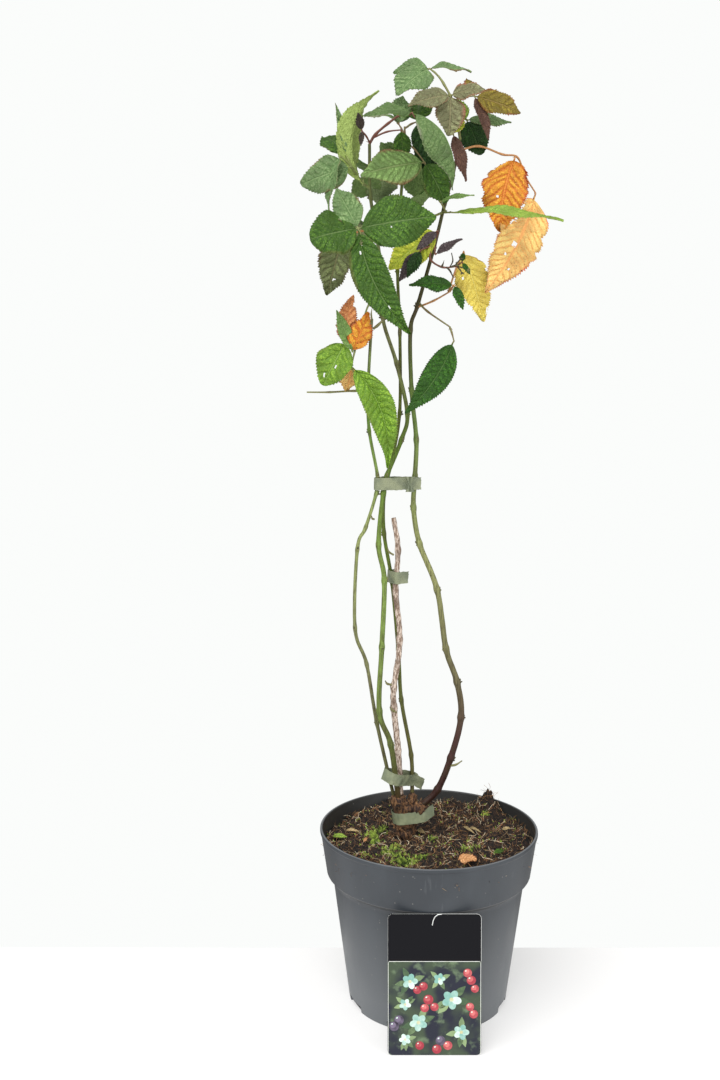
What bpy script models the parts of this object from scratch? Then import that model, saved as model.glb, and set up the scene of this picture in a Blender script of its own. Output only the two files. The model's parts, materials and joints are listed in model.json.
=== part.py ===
"""Potted thornless bramble: a nursery pot of soil, a root crown, tied canes and their leaves.

Metres, +Z up. The origin is the middle of the pot's flat underside, and the front faces -Y.
Headings turn anticlockwise from +X as seen from above; rises are above the level.
"""
import math
import random
from itertools import product

import bmesh
import bpy
from mathutils import Matrix, Vector
from mathutils.geometry import convex_hull_2d

MM = 0.001
GAP = 0.3 * MM
WELD = 0.002 * MM

# Pot: a three-litre nursery pot with a deep collar and feet between drain notches
POT_HEIGHT = 156 * MM
RIM_RADIUS = 95.3 * MM
COLLAR_DEPTH = 40 * MM
COLLAR_FOOT_RADIUS = 90.2 * MM
COLLAR_STEP = 4 * MM
BODY_TOP_RADIUS = 85 * MM
BASE_RADIUS = 70.3 * MM
WALL = 1.4 * MM
LIP = 0.9 * MM
LIP_DEPTH = 3 * MM
NOTCHES = 8
NOTCH_WIDTH = 24 * MM
NOTCH_HEIGHT = 6 * MM
ROUND_STEPS = 40

# Soil: its level under the root crown, and its lumps
SOIL_LEVEL = 142 * MM
SOIL_RINGS = 6
SOIL_ROUGHNESS = 2.2 * MM
SOIL_SWELL = 5 * MM
SWELL_REACH = 70 * MM
CLOD = Vector((58 * MM, 58 * MM))
CLOD_HEIGHT = 24 * MM
CLOD_RADIUS = 8.5 * MM
CROWN_PLACE = Vector((-20 * MM, 9 * MM))
CROWN_PAD = 27 * MM

# Canes: paths in mm, where each inner point is a node, with the radii at the foot and tip,
# the heights at which the cane is parted, and the colour of its bark
CANES = {
    "stem_left": dict(
        path=((-31, 8, 182), (-46, 1, 250), (-55, -9, 305), (-65, -15, 338), (-63, -16, 406),
              (-56, -13, 424), (-47, -9, 453), (-46, -10, 468), (-53, -13, 506), (-54, -14, 540),
              (-51, -13, 598)),
        radii=(1.6, 1.25), parts=(330, 450), bark=(0.17, 0.16, 0.06)),
    "stem_green": dict(
        path=((-27, 3, 182), (-34, -4, 232), (-44, -8, 263), (-42, -9, 320), (-40, -8, 378),
              (-45, -9, 409), (-41, -8, 453), (-38, -9, 468), (-26, -8, 498), (-21, -6, 520),
              (-30, 2, 562), (-42, 9, 602), (-44, 12, 649), (-52, 10, 700), (-53, 6, 742)),
        radii=(2.4, 1.3), parts=(450, 512, 610), bark=(0.16, 0.27, 0.06)),
    "stem_back": dict(
        path=((-14, 14, 182), (-15, 18, 215), (-24, 18, 266), (-27, 15, 312), (-33, 11, 374),
              (-40, 5, 417), (-40, 4, 452), (-34, 5, 478), (-27, 8, 520), (-27, 9, 588),
              (-29, 13, 640), (-27, 12, 690), (-24, 4, 739)),
        radii=(1.8, 1.2), parts=(450, 512), bark=(0.12, 0.10, 0.06)),
    "stem_right": dict(
        path=((-4, 4, 175), (8, 2, 189), (19, -4, 220), (27, -9, 258), (23, -12, 290),
              (13, -14, 320), (5, -14, 371), (-10, -8, 410), (-15, -3, 440), (-14, -3, 466),
              (-13, -2, 498), (-17, 3, 540), (-18, 8, 590), (-12, 8, 611), (1, 6, 657),
              (10, 4, 694), (16, 4, 715), (22, 4, 745)),
        radii=(2.9, 1.2), parts=(250, 420, 600), bark=(0.13, 0.12, 0.05)),
    "old_stub": dict(
        path=((-25, 9, 182), (-27, 9, 222), (-31, 8, 262), (-31, 6, 280), (-26, 5, 323),
              (-30, 2, 368), (-28, 1, 403), (-32, 0, 431)),
        radii=(2.8, 2.1), parts=(), bark=(0.36, 0.26, 0.22)),
}
NODE_SWELL = 0.28
NODE_REACH = 3 * MM
CANE_STEP = 18 * MM

# Root crown: arms in mm that leave one flared stump, each to the foot of its cane, which it meets
# head-on over the last stretches and outdoes in radius
STUMP = dict(path=((-20, 9, 142.3), (-20, 9, 147), (-21, 9, 156), (-21.5, 9, 170), (-22, 9, 176)),
             radii=(7, 7, 8.4, 7.4, 5.5))
ARM_ROOTS = {
    "stem_left": ((-24, 8, 160), 4.6),
    "stem_green": ((-22, 5, 162), 4.8),
    "stem_back": ((-18, 11, 160), 4.4),
    "stem_right": ((-17, 8, 152), 5.6),
    "old_stub": ((-23, 9, 160), 5.2),
}
ARM_STRETCHES = (7, 2, 0)
ARM_MARGIN = 0.4
ARM_STEP = 6 * MM
STUMP_STEP = 4 * MM

# Ties: tape bands, each with the canes it binds, its middle height, depth and slant
TIES = {
    "tie_top": dict(canes=("stem_left", "stem_green", "stem_back", "stem_right"), height=461, slant=0),
    "tie_middle": dict(canes=("old_stub", "stem_back"), height=379, slant=4),
    "tie_low": dict(canes=("stem_left", "stem_green", "stem_back", "old_stub"), height=199, slant=14),
    "tie_foot": dict(canes=("stump", "arm_stem_right"), height=163, slant=-6),
}
TIE_DEPTH = 10.5 * MM
TAPE = 0.6 * MM
TIE_SLACK = 0.5 * MM
TIE_SAMPLES = 12
TIE_MARGIN = 2 * MM
TIE_CORNERS = 10

# Plant label: a card that leans on the pot's collar
CARD_WIDTH = 76.5 * MM
CARD_HEIGHT = 117 * MM
CARD_THICKNESS = 0.8 * MM
CARD_CORNER = 4 * MM
CARD_HOLE = 1.6 * MM
CARD_HOLE_DROP = 9 * MM
CARD_FOOT_Y = -102 * MM
CORNER_STEPS = 4
HOLE_SIDES = 10

# Twigs and leaves
TWIG_TAPER = 0.7
TWIG_STEP = 12 * MM
TIP_LEAD = 2
LEAF_THICKNESS = 0.95 * MM
LEAF_STEPS = 5
STALK_RADIUS = 0.85 * MM
KNOB_RADIUS = 1.5 * MM
BLADE_START = 0.5 * MM
NECK_SHARE = 0.05
NECK_WIDTH = 0.06
FOLD = (8, 18)
STALK_BOW = 0.06
SEED = 7

# Foliage: each mass has its cane, its twig's path and radius in mm, and its leaves. A leaf has its
# share along the twig, its stalk (heading, rise, length) and its blades, each of them
# (heading, rise, length, width, heading of the face, rise of the face, arch and any sideways sway,
# as a share of its length)
FOLIAGE = {
    "leaves_top": dict(
        cane="stem_right", tint=(0.10, 0.15, 0.05), radius=1.2,
        twig=((22, 4, 747), (19, 3, 762), (14, 3, 778), (8, 6, 790), (4, 10, 797)),
        leaves=(
            (0.98, (150, 40, 12), ((172, -6, 29, 18, -90, 35, 80), (-140, -36, 44, 33, -105, 20, 25),
                                   (13, -2, 36, 20, -80, 60, 45))),
            (0.62, (-94, -9, 13), ((-162, -16, 38, 23, -95, 28, 20), (-15, 6, 28, 20, -80, 30, 20),
                                   (-100, -77, 34, 27, -85, 15, 20))),
            (0.55, (3, 13, 19), ((-3, -20, 40, 26, -90, 25, 15), (102, 40, 29, 15, -60, 40, 20),
                                 (-48, -66, 40, 14, -60, 15, 15))),
            (0.30, (55, 6, 16), ((-12, -66, 31, 27, -85, 12, 20), (9, -2, 38, 16, -90, 38, 20),
                                 (128, 18, 35, 24, 150, 60, 30), (165, 62, 18, 14, -90, 20, 15))),
            (0.12, (-120, -19, 12), ((-20, -74, 40, 15, -65, 5, 15), (20, 58, 17, 12, -85, 20, 20))),
        )),
    "leaves_arch": dict(
        cane="stem_green", tint=(0.13, 0.21, 0.08), radius=1.1,
        twig=((-53, 6, 742), (-48, 3, 749), (-38, -4, 756), (-28, -12, 761), (-20, -18, 760)),
        leaves=(
            (0.98, (-75, -1, 7), ((-15, -62, 69, 34, -40, 35, 100), (-160, -9, 41, 24, -100, 48, 45))),
            (0.12, (-32, 7, 27), ((66, -77, 26, 17, -90, 10, 20),)),
            (0.02, (-125, 33, 14), ((-129, 69, 14, 9, -90, 10, 10), (-98, -64, 14, 6, -90, 10, 10))),
        )),
    "leaves_inner": dict(
        cane="stem_back", tint=(0.08, 0.19, 0.05), radius=1.1,
        twig=((-24, 4, 739), (-24, 2, 748), (-24, 2, 755)),
        leaves=(
            (0.9, (28, 29, 14), ((-42, -73, 42, 21, -85, 15, 20), (22, -72, 54, 30, -70, 20, 20),
                                 (84, 33, 38, 26, 90, 60, 35))),
            (0.3, (-45, -42, 30), ((-165, -13, 55, 36, -90, 25, 20), (27, -57, 36, 30, -80, 25, 20))),
            (0.5, (111, 45, 18), ((73, 64, 28, 20, -60, 50, 20), (130, 25, 37, 22, 120, 55, 30))),
        )),
    "leaves_left": dict(
        cane="stem_green", tint=(0.16, 0.24, 0.07), radius=1.1,
        twig=((-55, 9, 707), (-60, 4, 712), (-66, -6, 719), (-70, -8, 726)),
        leaves=(
            (0.15, (-103, -9, 11), ((17, 80, 77, 34, 135, 0, 70, 0.12),)),
            (0.75, (-118, 19, 5), ((172, -18, 43, 34, -95, 20, 15),)),
            (0.75, (-150, 38, 16), ((-150, -76, 46, 20, -150, 10, 15),)),
            (0.98, (115, 41, 9), ((144, 76, 44, 9, -60, 0, 15), (117, 27, 48, 26, 130, 50, 35))),
        )),
    "leaves_centre": dict(
        cane="stem_right", tint=(0.06, 0.16, 0.03), radius=1.0,
        twig=((9, 1, 686), (-3, -6, 681), (-29, -24, 670), (-53, -40, 666)),
        leaves=(
            (1.0, (-148, 4, 11), ((-164, -14, 40, 40, -95, 20, 15), (-4, 8, 62, 45, -85, 15, 15),
                                  (-20, -62, 94, 34, -100, 10, 20, 0.08), (150, 58, 38, 26, -95, 20, 15))),
        )),
    "leaves_young": dict(
        cane="stem_right", tint=(0.09, 0.08, 0.08), radius=0.9,
        twig=((3, 0, 671), (0, -8, 658), (-3, -12, 647), (7, -14, 640), (20, -12, 641)),
        leaves=(
            (0.02, (-98, -2, 8), ((-155, -41, 25, 12, -100, 30, 15), (172, -38, 50, 34, -95, 25, 20))),
            (0.30, (-85, -57, 11), ((-16, 27, 25, 11, -80, 40, 15),)),
            (0.34, (-163, -20, 12), ((-160, -62, 25, 13, -95, 10, 15), (167, -54, 30, 15, -95, 10, 15))),
            (0.99, (1, 41, 5), ((-17, -55, 12, 6, -80, 30, 10), (-73, 71, 7, 6, -80, 30, 10))),
        )),
    "leaves_yellow": dict(
        cane="stem_right", tint=(0.55, 0.42, 0.08), radius=0.9,
        twig=((-12, 5, 608), (1, 0, 614), (14, -6, 621)),
        leaves=(
            (1.0, (-54, 43, 7), ((-168, 0, 38, 19, -90, 35, 15), (-40, -65, 22, 11, -80, 15, 15))),
            (0.95, (54, 56, 43), ((-13, -73, 61, 33, -85, 15, 20),)),
        )),
    "leaves_orange": dict(
        cane="stem_right", tint=(0.75, 0.33, 0.10), radius=0.9,
        twig=((20, 7, 736), (38, 10, 741), (58, 13, 735), (71, 15, 733), (79, 23, 719), (88, 25, 706)),
        leaves=(
            (0.6, (-120, -20, 3), ((-170, -80, 62, 44, -90, 15, 20, 0.06),)),
            (1.0, (0, -90, 2), ((-152, -59, 97, 46, -75, 15, 20, -0.05),)),
        )),
    "leaves_long": dict(
        cane="stem_right", tint=(0.20, 0.34, 0.09), radius=0.9,
        twig=((11, 1, 686), (13, -6, 685)),
        leaves=(
            (1.0, (-72, -7, 4), ((-10, -6, 91, 21, -95, 62, 20),)),
            (0.5, (-118, 28, 15), ((-20, 6, 29, 11, -95, 55, 20),)),
        )),
    "leaves_low_left": dict(
        cane="stem_green", tint=(0.14, 0.30, 0.06), radius=0.9,
        twig=((-44, 9, 616), (-52, 2, 613), (-58, -8, 598), (-63, -18, 579)),
        leaves=(
            (0.9, (-160, -22, 12), ((-172, -62, 40, 34, -100, 15, 15),)),
            (0.9, (-130, -57, 15), ((-148, 65, 36, 14, -80, 18, 15),
                                    (85, 76, 48, 22, -90, 5, 15, -0.10), (-10, 66, 34, 23, -90, 5, 15))),
            (1.0, (-129, -69, 21), ((-29, -68, 89, 32, -95, 15, 20, -0.12),
                                    (106, -56, 23, 20, -80, 5, 15))),
        )),
    "bare_stalk": dict(
        cane="stem_left", tint=(0.20, 0.19, 0.07), radius=0.9,
        twig=((-54, -14, 539), (-66, -12, 539), (-86, -16, 538), (-105, -18, 538)),
        leaves=()),
    "leaves_low_right": dict(
        cane="stem_right", tint=(0.06, 0.16, 0.04), radius=0.9,
        twig=((-12, 6, 613), (-4, 0, 605), (14, -8, 592)),
        leaves=(
            (1.0, (-52, -66, 13), ((-156, -53, 74, 27, -80, 20, 15, -0.06),)),
        )),
    "leaves_back_high": dict(
        cane="stem_back", tint=(0.08, 0.18, 0.05), radius=1.0,
        twig=((-26, 15, 702), (-25, 26, 712), (-23, 38, 725)),
        leaves=(
            (0.99, (68, 40, 20), ((35, 16, 40, 32, 70, 60, 30), (142, 21, 35, 32, 110, 60, 30),
                                  (72, -40, 44, 34, 80, 30, 30))),
            (0.5, (140, 25, 22), ((139, 20, 42, 30, 120, 60, 30), (157, -26, 33, 30, 130, 50, 25),
                                  (95, -28, 38, 30, 100, 30, 25))),
        )),
    "leaves_back_low": dict(
        cane="stem_green", tint=(0.09, 0.17, 0.05), radius=1.0,
        twig=((-44, 16, 672), (-40, 28, 682), (-33, 40, 689)),
        leaves=(
            (0.99, (48, 20, 15), ((31, 27, 35, 30, 70, 60, 30), (142, 10, 27, 26, 110, 60, 30),
                                  (71, -30, 37, 32, 80, 30, 30))),
            (0.1, (-155, -14, 33), ((-146, -72, 50, 33, -95, 10, 15),)),
            (0.4, (146, 4, 15), ((151, 14, 39, 28, 130, 50, 30), (149, -33, 28, 28, 120, 30, 25))),
        )),
}

for leftover in list(bpy.data.objects):
    bpy.data.objects.remove(leftover)
model = bpy.data.collections.new("potted bramble")
cutters = bpy.data.collections.new("cutters")
for collection in (model, cutters):
    bpy.context.scene.collection.children.link(collection)


def paint(obj, colour, roughness):
    """Gives an object its own finish."""
    material = bpy.data.materials.new(obj.name)
    material.use_nodes = True
    shader = material.node_tree.nodes["Principled BSDF"]
    shader.inputs["Base Color"].default_value = (*colour, 1)
    shader.inputs["Roughness"].default_value = roughness
    shader.inputs["Metallic"].default_value = 0
    obj.data.materials.clear()
    obj.data.materials.append(material)


def baked(obj, name):
    """The object as a plain welded mesh in world space, in place of the object."""
    bpy.context.view_layer.update()
    graph = bpy.context.evaluated_depsgraph_get()
    mesh = bpy.data.meshes.new_from_object(obj.evaluated_get(graph))
    mesh.transform(obj.matrix_world)
    work = bmesh.new()
    work.from_mesh(mesh)
    bmesh.ops.remove_doubles(work, verts=work.verts, dist=WELD)
    work.to_mesh(mesh)
    work.free()
    bpy.data.objects.remove(obj)
    plain = bpy.data.objects.new(name, mesh)
    mesh.name = name
    model.objects.link(plain)
    return plain


def smooth(obj, angle=40):
    """Smooth shading with creases past the angle."""
    obj.data.shade_smooth()
    obj.data.set_sharp_from_angle(angle=math.radians(angle))


def turned(name, profile):
    """A turned solid, from a profile that runs from the axis out and down and back to the axis."""
    mesh = bpy.data.meshes.new(name)
    links = [(i, i + 1) for i in range(len(profile) - 1)]
    mesh.from_pydata([(radius, 0, height) for radius, height in profile], links, [])
    obj = bpy.data.objects.new(name, mesh)
    model.objects.link(obj)
    spin = obj.modifiers.new("Turn", "SCREW")
    spin.steps = spin.render_steps = ROUND_STEPS
    spin.use_merge_vertices = True
    spin.merge_threshold = WELD
    return baked(obj, name)


def direction(heading, rise):
    """The unit vector of a heading and a rise in degrees."""
    turn, climb = math.radians(heading), math.radians(rise)
    return Vector((math.cos(climb) * math.cos(turn), math.cos(climb) * math.sin(turn), math.sin(climb)))


def flowing(points, step):
    """Points about a step apart on the smooth curve through some points, with each one's share."""
    points = [Vector(point) * MM for point in points]
    ends = [2 * points[0] - points[1]] + points + [2 * points[-1] - points[-2]]
    curve = []
    spans = len(points) - 1
    for i in range(spans):
        a, b, c, d = ends[i:i + 4]
        count = max(1, round((c - b).length / step))
        for k in range(count):
            t = k / count
            place = 0.5 * (2 * b + (c - a) * t + (2 * a - 5 * b + 4 * c - d) * t ** 2
                           + (3 * b - a - 3 * c + d) * t ** 3)
            curve.append((place, i + t))
    curve.append((points[-1], float(spans)))
    return curve


def tube(name, centres, radii, sides_level):
    """A round limb through the centres, with its own radius at each."""
    curve = bpy.data.curves.new(name, "CURVE")
    curve.dimensions = "3D"
    curve.bevel_depth = MM
    curve.bevel_resolution = sides_level
    curve.use_fill_caps = True
    curve.twist_mode = "MINIMUM"
    spline = curve.splines.new("POLY")
    spline.points.add(len(centres) - 1)
    for point, centre, radius in zip(spline.points, centres, radii):
        point.co = (*centre, 1)
        point.radius = radius / MM
    obj = bpy.data.objects.new(name, curve)
    model.objects.link(obj)
    return baked(obj, name)


def one_shell(obj, method):
    """The object's finished triangles with only its largest shell, and whether it is closed."""
    bpy.context.view_layer.update()
    work = bmesh.new()
    work.from_object(obj, bpy.context.evaluated_depsgraph_get())
    bmesh.ops.remove_doubles(work, verts=work.verts, dist=WELD)
    shells, seen = [], set()
    for face in work.faces:
        if face in seen:
            continue
        shell, fresh = {face}, [face]
        while fresh:
            for edge in fresh.pop().edges:
                beyond = [other for other in edge.link_faces if other not in shell]
                shell.update(beyond)
                fresh.extend(beyond)
        seen |= shell
        shells.append(shell)
    largest = max(shells, key=len)
    scraps = [face for face in work.faces if face not in largest]
    bmesh.ops.delete(work, geom=scraps, context="FACES")
    bmesh.ops.triangulate(work, faces=work.faces, quad_method="BEAUTY", ngon_method=method)
    sound = all(len(edge.link_faces) == 2 for edge in work.edges)
    mesh = bpy.data.meshes.new(obj.name)
    work.to_mesh(mesh)
    work.free()
    return mesh, sound


def fused(name, pieces):
    """One closed solid from pieces that are sunk into each other, with loose scraps dropped."""
    for piece in pieces:
        work = bmesh.new()
        work.from_mesh(piece.data)
        bmesh.ops.triangulate(work, faces=work.faces)
        work.to_mesh(piece.data)
        work.free()
    body, *rest = pieces
    group = bpy.data.collections.new(name)
    bpy.context.scene.collection.children.link(group)
    for piece in rest:
        model.objects.unlink(piece)
        group.objects.link(piece)
    join = body.modifiers.new("Union", "BOOLEAN")
    join.operation = "UNION"
    join.operand_type = "COLLECTION"
    join.collection = group
    for join.solver, method in product(("EXACT", "MANIFOLD"), ("BEAUTY", "EAR_CLIP")):
        mesh, sound = one_shell(body, method)
        if sound:
            break
    for piece in pieces:
        bpy.data.objects.remove(piece)
    bpy.data.collections.remove(group)
    solid = bpy.data.objects.new(name, mesh)
    model.objects.link(solid)
    return solid


def build_pot():
    """The pot: a tapered wall with a collar, a flat floor and drain notches round its foot."""
    collar_foot = POT_HEIGHT - COLLAR_DEPTH
    step_foot = collar_foot - COLLAR_STEP
    profile = [
        (0, WALL), (BASE_RADIUS - WALL, WALL), (BODY_TOP_RADIUS - WALL, step_foot),
        (COLLAR_FOOT_RADIUS - WALL, collar_foot), (RIM_RADIUS - WALL, POT_HEIGHT),
        (RIM_RADIUS + LIP, POT_HEIGHT), (RIM_RADIUS + LIP, POT_HEIGHT - LIP_DEPTH),
        (RIM_RADIUS, POT_HEIGHT - LIP_DEPTH - LIP), (COLLAR_FOOT_RADIUS, collar_foot),
        (BODY_TOP_RADIUS, step_foot), (BASE_RADIUS, 0), (0, 0)]
    pot = turned("pot", profile)
    for i in range(NOTCHES):
        bpy.ops.mesh.primitive_cube_add(size=1)
        notch = bpy.context.object
        notch.name = f"notch_{i}"
        turn = math.tau * (i + 0.5) / NOTCHES
        notch.dimensions = (4 * WALL, NOTCH_WIDTH, 2 * NOTCH_HEIGHT)
        notch.rotation_euler.z = turn
        notch.location = (BASE_RADIUS * math.cos(turn), BASE_RADIUS * math.sin(turn), 0)
        notch.hide_render = True
        notch.display_type = "WIRE"
        for owner in list(notch.users_collection):
            owner.objects.unlink(notch)
        cutters.objects.link(notch)
    cut = pot.modifiers.new("Notches", "BOOLEAN")
    cut.operation = "DIFFERENCE"
    cut.operand_type = "COLLECTION"
    cut.collection = cutters
    cut.solver = "EXACT"
    smooth(pot)
    paint(pot, (0.065, 0.07, 0.078), 0.45)


def soil_lump(x, y):
    """How far the soil's top stands over its level at a place: a long swell, ripples and the clod."""
    ripple = math.sin(95 * x + 1) * math.cos(110 * y) + 0.6 * math.sin(210 * x - 150 * y + 2)
    from_crown = (Vector((x, y)) - CROWN_PLACE).length
    calm = min(1.0, max(0.0, from_crown / CROWN_PAD - 1))
    clod = CLOD_HEIGHT * math.exp(-((Vector((x, y)) - CLOD).length / CLOD_RADIUS) ** 2)
    swell = SOIL_SWELL * max(0.0, min(1.0, (0.45 * x + 0.9 * y) / SWELL_REACH))
    return calm * (SOIL_ROUGHNESS * ripple + swell) + clod


def build_soil():
    """The soil: it fills the pot with a thin gap, and its top is lumpy away from the crown."""
    collar_foot = POT_HEIGHT - COLLAR_DEPTH
    step_foot = collar_foot - COLLAR_STEP
    inset = WALL + GAP / math.cos(math.pi / ROUND_STEPS) + 0.2 * MM
    rise = (SOIL_LEVEL - collar_foot) / COLLAR_DEPTH
    top_radius = COLLAR_FOOT_RADIUS + rise * (RIM_RADIUS - COLLAR_FOOT_RADIUS) - inset
    rings = [(top_radius * i / SOIL_RINGS, SOIL_LEVEL) for i in range(SOIL_RINGS + 1)]
    floor = WALL + GAP
    soil = turned("soil", rings + [
        (COLLAR_FOOT_RADIUS - inset, collar_foot + GAP), (BODY_TOP_RADIUS - inset, step_foot + GAP),
        (BASE_RADIUS - inset, floor), (0, floor)])
    for vertex in soil.data.vertices:
        if abs(vertex.co.z - SOIL_LEVEL) < WELD:
            vertex.co.z += soil_lump(vertex.co.x, vertex.co.y)
    smooth(soil, 60)
    paint(soil, (0.045, 0.026, 0.015), 0.95)


class Cane:
    """A cane's smooth centre line, with its radius along it."""

    def __init__(self, path, radii, step=CANE_STEP):
        curve = flowing(path, step)
        self.centres = [place for place, share in curve]
        spans = len(path) - 1
        self.radii = []
        for place, share in curve:
            part = share / spans
            even = (radii[0] + part * (radii[-1] - radii[0])) * MM
            if len(radii) == len(path):
                k = min(int(share), spans - 1)
                even = (radii[k] + (share - k) * (radii[k + 1] - radii[k])) * MM
            node = Vector(path[round(share)]) * MM
            inner = 0 < round(share) < spans
            swell = NODE_SWELL * math.exp(-((place - node).length / NODE_REACH) ** 2) if inner else 0
            self.radii.append(even * (1 + swell))

    def part(self, low, high):
        """The centres and radii between two heights, with the cut ends put in."""
        centres, radii = [], []
        for i in range(len(self.centres) - 1):
            a, b = self.centres[i], self.centres[i + 1]
            cuts = [cut for cut in (low, high) if cut is not None and a.z < cut <= b.z]
            if (low is None or a.z > low) and (high is None or a.z < high):
                centres.append(a)
                radii.append(self.radii[i])
            for cut in cuts:
                t = (cut - a.z) / (b.z - a.z)
                centres.append(a.lerp(b, t))
                radii.append(self.radii[i] + t * (self.radii[i + 1] - self.radii[i]))
        if high is None:
            centres.append(self.centres[-1])
            radii.append(self.radii[-1])
        return centres, radii

    def nearest(self, place):
        """The nearest centre to a place, with the cane's heading and radius there."""
        i = min(range(len(self.centres)), key=lambda k: (self.centres[k] - place).length)
        before, after = self.centres[max(i - 1, 0)], self.centres[min(i + 1, len(self.centres) - 1)]
        return self.centres[i], (after - before).normalized(), self.radii[i]


def build_canes():
    """Each cane, parted at its bends, and the root crown that they grow from."""
    canes = {}
    for name, spec in CANES.items():
        cane = canes[name] = Cane(spec["path"], spec["radii"])
        cuts = [None] + [height * MM for height in spec["parts"]] + [None]
        for i, (low, high) in enumerate(zip(cuts, cuts[1:])):
            low = low if low is None else low + GAP / 2
            high = high if high is None else high - GAP / 2
            label = f"{name}_{i + 1}" if spec["parts"] else name
            limb = tube(label, *cane.part(low, high), 2)
            smooth(limb, 60)
            paint(limb, spec["bark"], 0.6)
    stump = canes["stump"] = Cane(STUMP["path"], STUMP["radii"], STUMP_STEP)
    pieces = [tube("stump", stump.centres, stump.radii, 2)]
    for name, (root, radius) in ARM_ROOTS.items():
        foot = canes[name].centres[0]
        aim = (canes[name].centres[1] - foot).normalized()
        end = foot - GAP * aim
        turns = [tuple((end - aim * back * MM) / MM) for back in ARM_STRETCHES]
        radii = (radius, canes[name].radii[0] / MM + ARM_MARGIN)
        arm = canes[f"arm_{name}"] = Cane((root, *turns), radii, ARM_STEP)
        pieces.append(tube(f"arm_{name}", arm.centres, arm.radii, 1))
    crown = fused("root_crown", pieces)
    smooth(crown, 60)
    paint(crown, (0.16, 0.10, 0.05), 0.85)
    return canes


def flat_plate(name, depth):
    """An empty flat curve that is filled and as deep as stated."""
    curve = bpy.data.curves.new(name, "CURVE")
    curve.dimensions = "2D"
    curve.fill_mode = "BOTH"
    curve.extrude = depth / 2
    return curve


def add_loop(curve, loop):
    """One more closed outline of a flat curve."""
    spline = curve.splines.new("POLY")
    spline.points.add(len(loop) - 1)
    spline.use_cyclic_u = True
    for point, place in zip(spline.points, loop):
        point.co = (place.x, place.y, 0, 1)


def ring(points, swell):
    """The outline of tape drawn round some circles, the swell outside them."""
    around = [math.tau * (k + 0.5) / TIE_CORNERS for k in range(TIE_CORNERS)]
    cloud = [(point.x + (reach + swell) * math.cos(turn), point.y + (reach + swell) * math.sin(turn))
             for point, reach in points for turn in around]
    return [Vector(cloud[i]) for i in convex_hull_2d(cloud)]


def build_tie(name, canes, bound, height, slant):
    """A band of tape drawn round the canes that it binds, at a slant across the front."""
    held = [canes[cane] for cane in bound]
    normal = Matrix.Rotation(math.radians(slant), 3, "Y") @ Vector((0, 0, 1))
    across = Matrix.Rotation(math.radians(slant), 3, "Y") @ Vector((1, 0, 0))
    deep = normal.cross(across)
    at = [min(cane.centres, key=lambda place: abs(place.z - height * MM)) for cane in held]
    middle = sum(at, Vector()) / len(at)
    middle.z = height * MM
    points = []
    for cane in held:
        for a, b, thick, next_thick in zip(cane.centres, cane.centres[1:], cane.radii, cane.radii[1:]):
            for k in range(TIE_SAMPLES):
                share = k / TIE_SAMPLES
                place = a.lerp(b, share) - middle
                if abs(place.dot(normal)) < TIE_DEPTH / 2 + TIE_MARGIN:
                    flat = Vector((place.dot(across), place.dot(deep)))
                    points.append((flat, thick + share * (next_thick - thick)))
    curve = flat_plate(name, TIE_DEPTH)
    for swell in (TIE_SLACK, TIE_SLACK + TAPE):
        add_loop(curve, ring(points, swell))
    band = bpy.data.objects.new(name, curve)
    model.objects.link(band)
    frame = Matrix((across, deep, normal)).transposed().to_4x4()
    frame.translation = middle
    band.matrix_world = frame
    band = baked(band, name)
    smooth(band)
    paint(band, (0.33, 0.40, 0.33), 0.5)


def build_card():
    """The plant label: a card with round corners and a hole, stood against the collar."""
    curve = flat_plate("label", CARD_THICKNESS)
    corners = ((1, 1), (-1, 1), (-1, -1), (1, -1))
    outline = []
    for k, (right, up) in enumerate(corners):
        centre = Vector((right * (CARD_WIDTH / 2 - CARD_CORNER), up * (CARD_HEIGHT / 2 - CARD_CORNER)))
        for step in range(CORNER_STEPS + 1):
            turn = math.pi / 2 * (k + step / CORNER_STEPS)
            outline.append(centre + CARD_CORNER * Vector((math.cos(turn), math.sin(turn))))
    eye = Vector((0, CARD_HEIGHT / 2 - CARD_HOLE_DROP))
    turns = [math.tau * k / HOLE_SIDES for k in range(HOLE_SIDES)]
    add_loop(curve, outline)
    add_loop(curve, [eye + CARD_HOLE * Vector((math.cos(turn), math.sin(turn))) for turn in turns])
    card = bpy.data.objects.new("label", curve)
    model.objects.link(card)
    head_y = -COLLAR_FOOT_RADIUS - GAP - CARD_THICKNESS / 2
    lean = math.atan2(head_y - CARD_FOOT_Y, POT_HEIGHT - COLLAR_DEPTH)
    card.rotation_euler = (math.pi / 2 - lean, 0, 0)
    up = Vector((0, math.sin(lean), math.cos(lean)))
    foot = Vector((0, CARD_FOOT_Y, GAP + CARD_THICKNESS / 2 * math.sin(lean)))
    card.location = foot + up * CARD_HEIGHT / 2
    card = baked(card, "label")
    smooth(card)
    paint(card, (0.06, 0.06, 0.09), 0.3)


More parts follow.
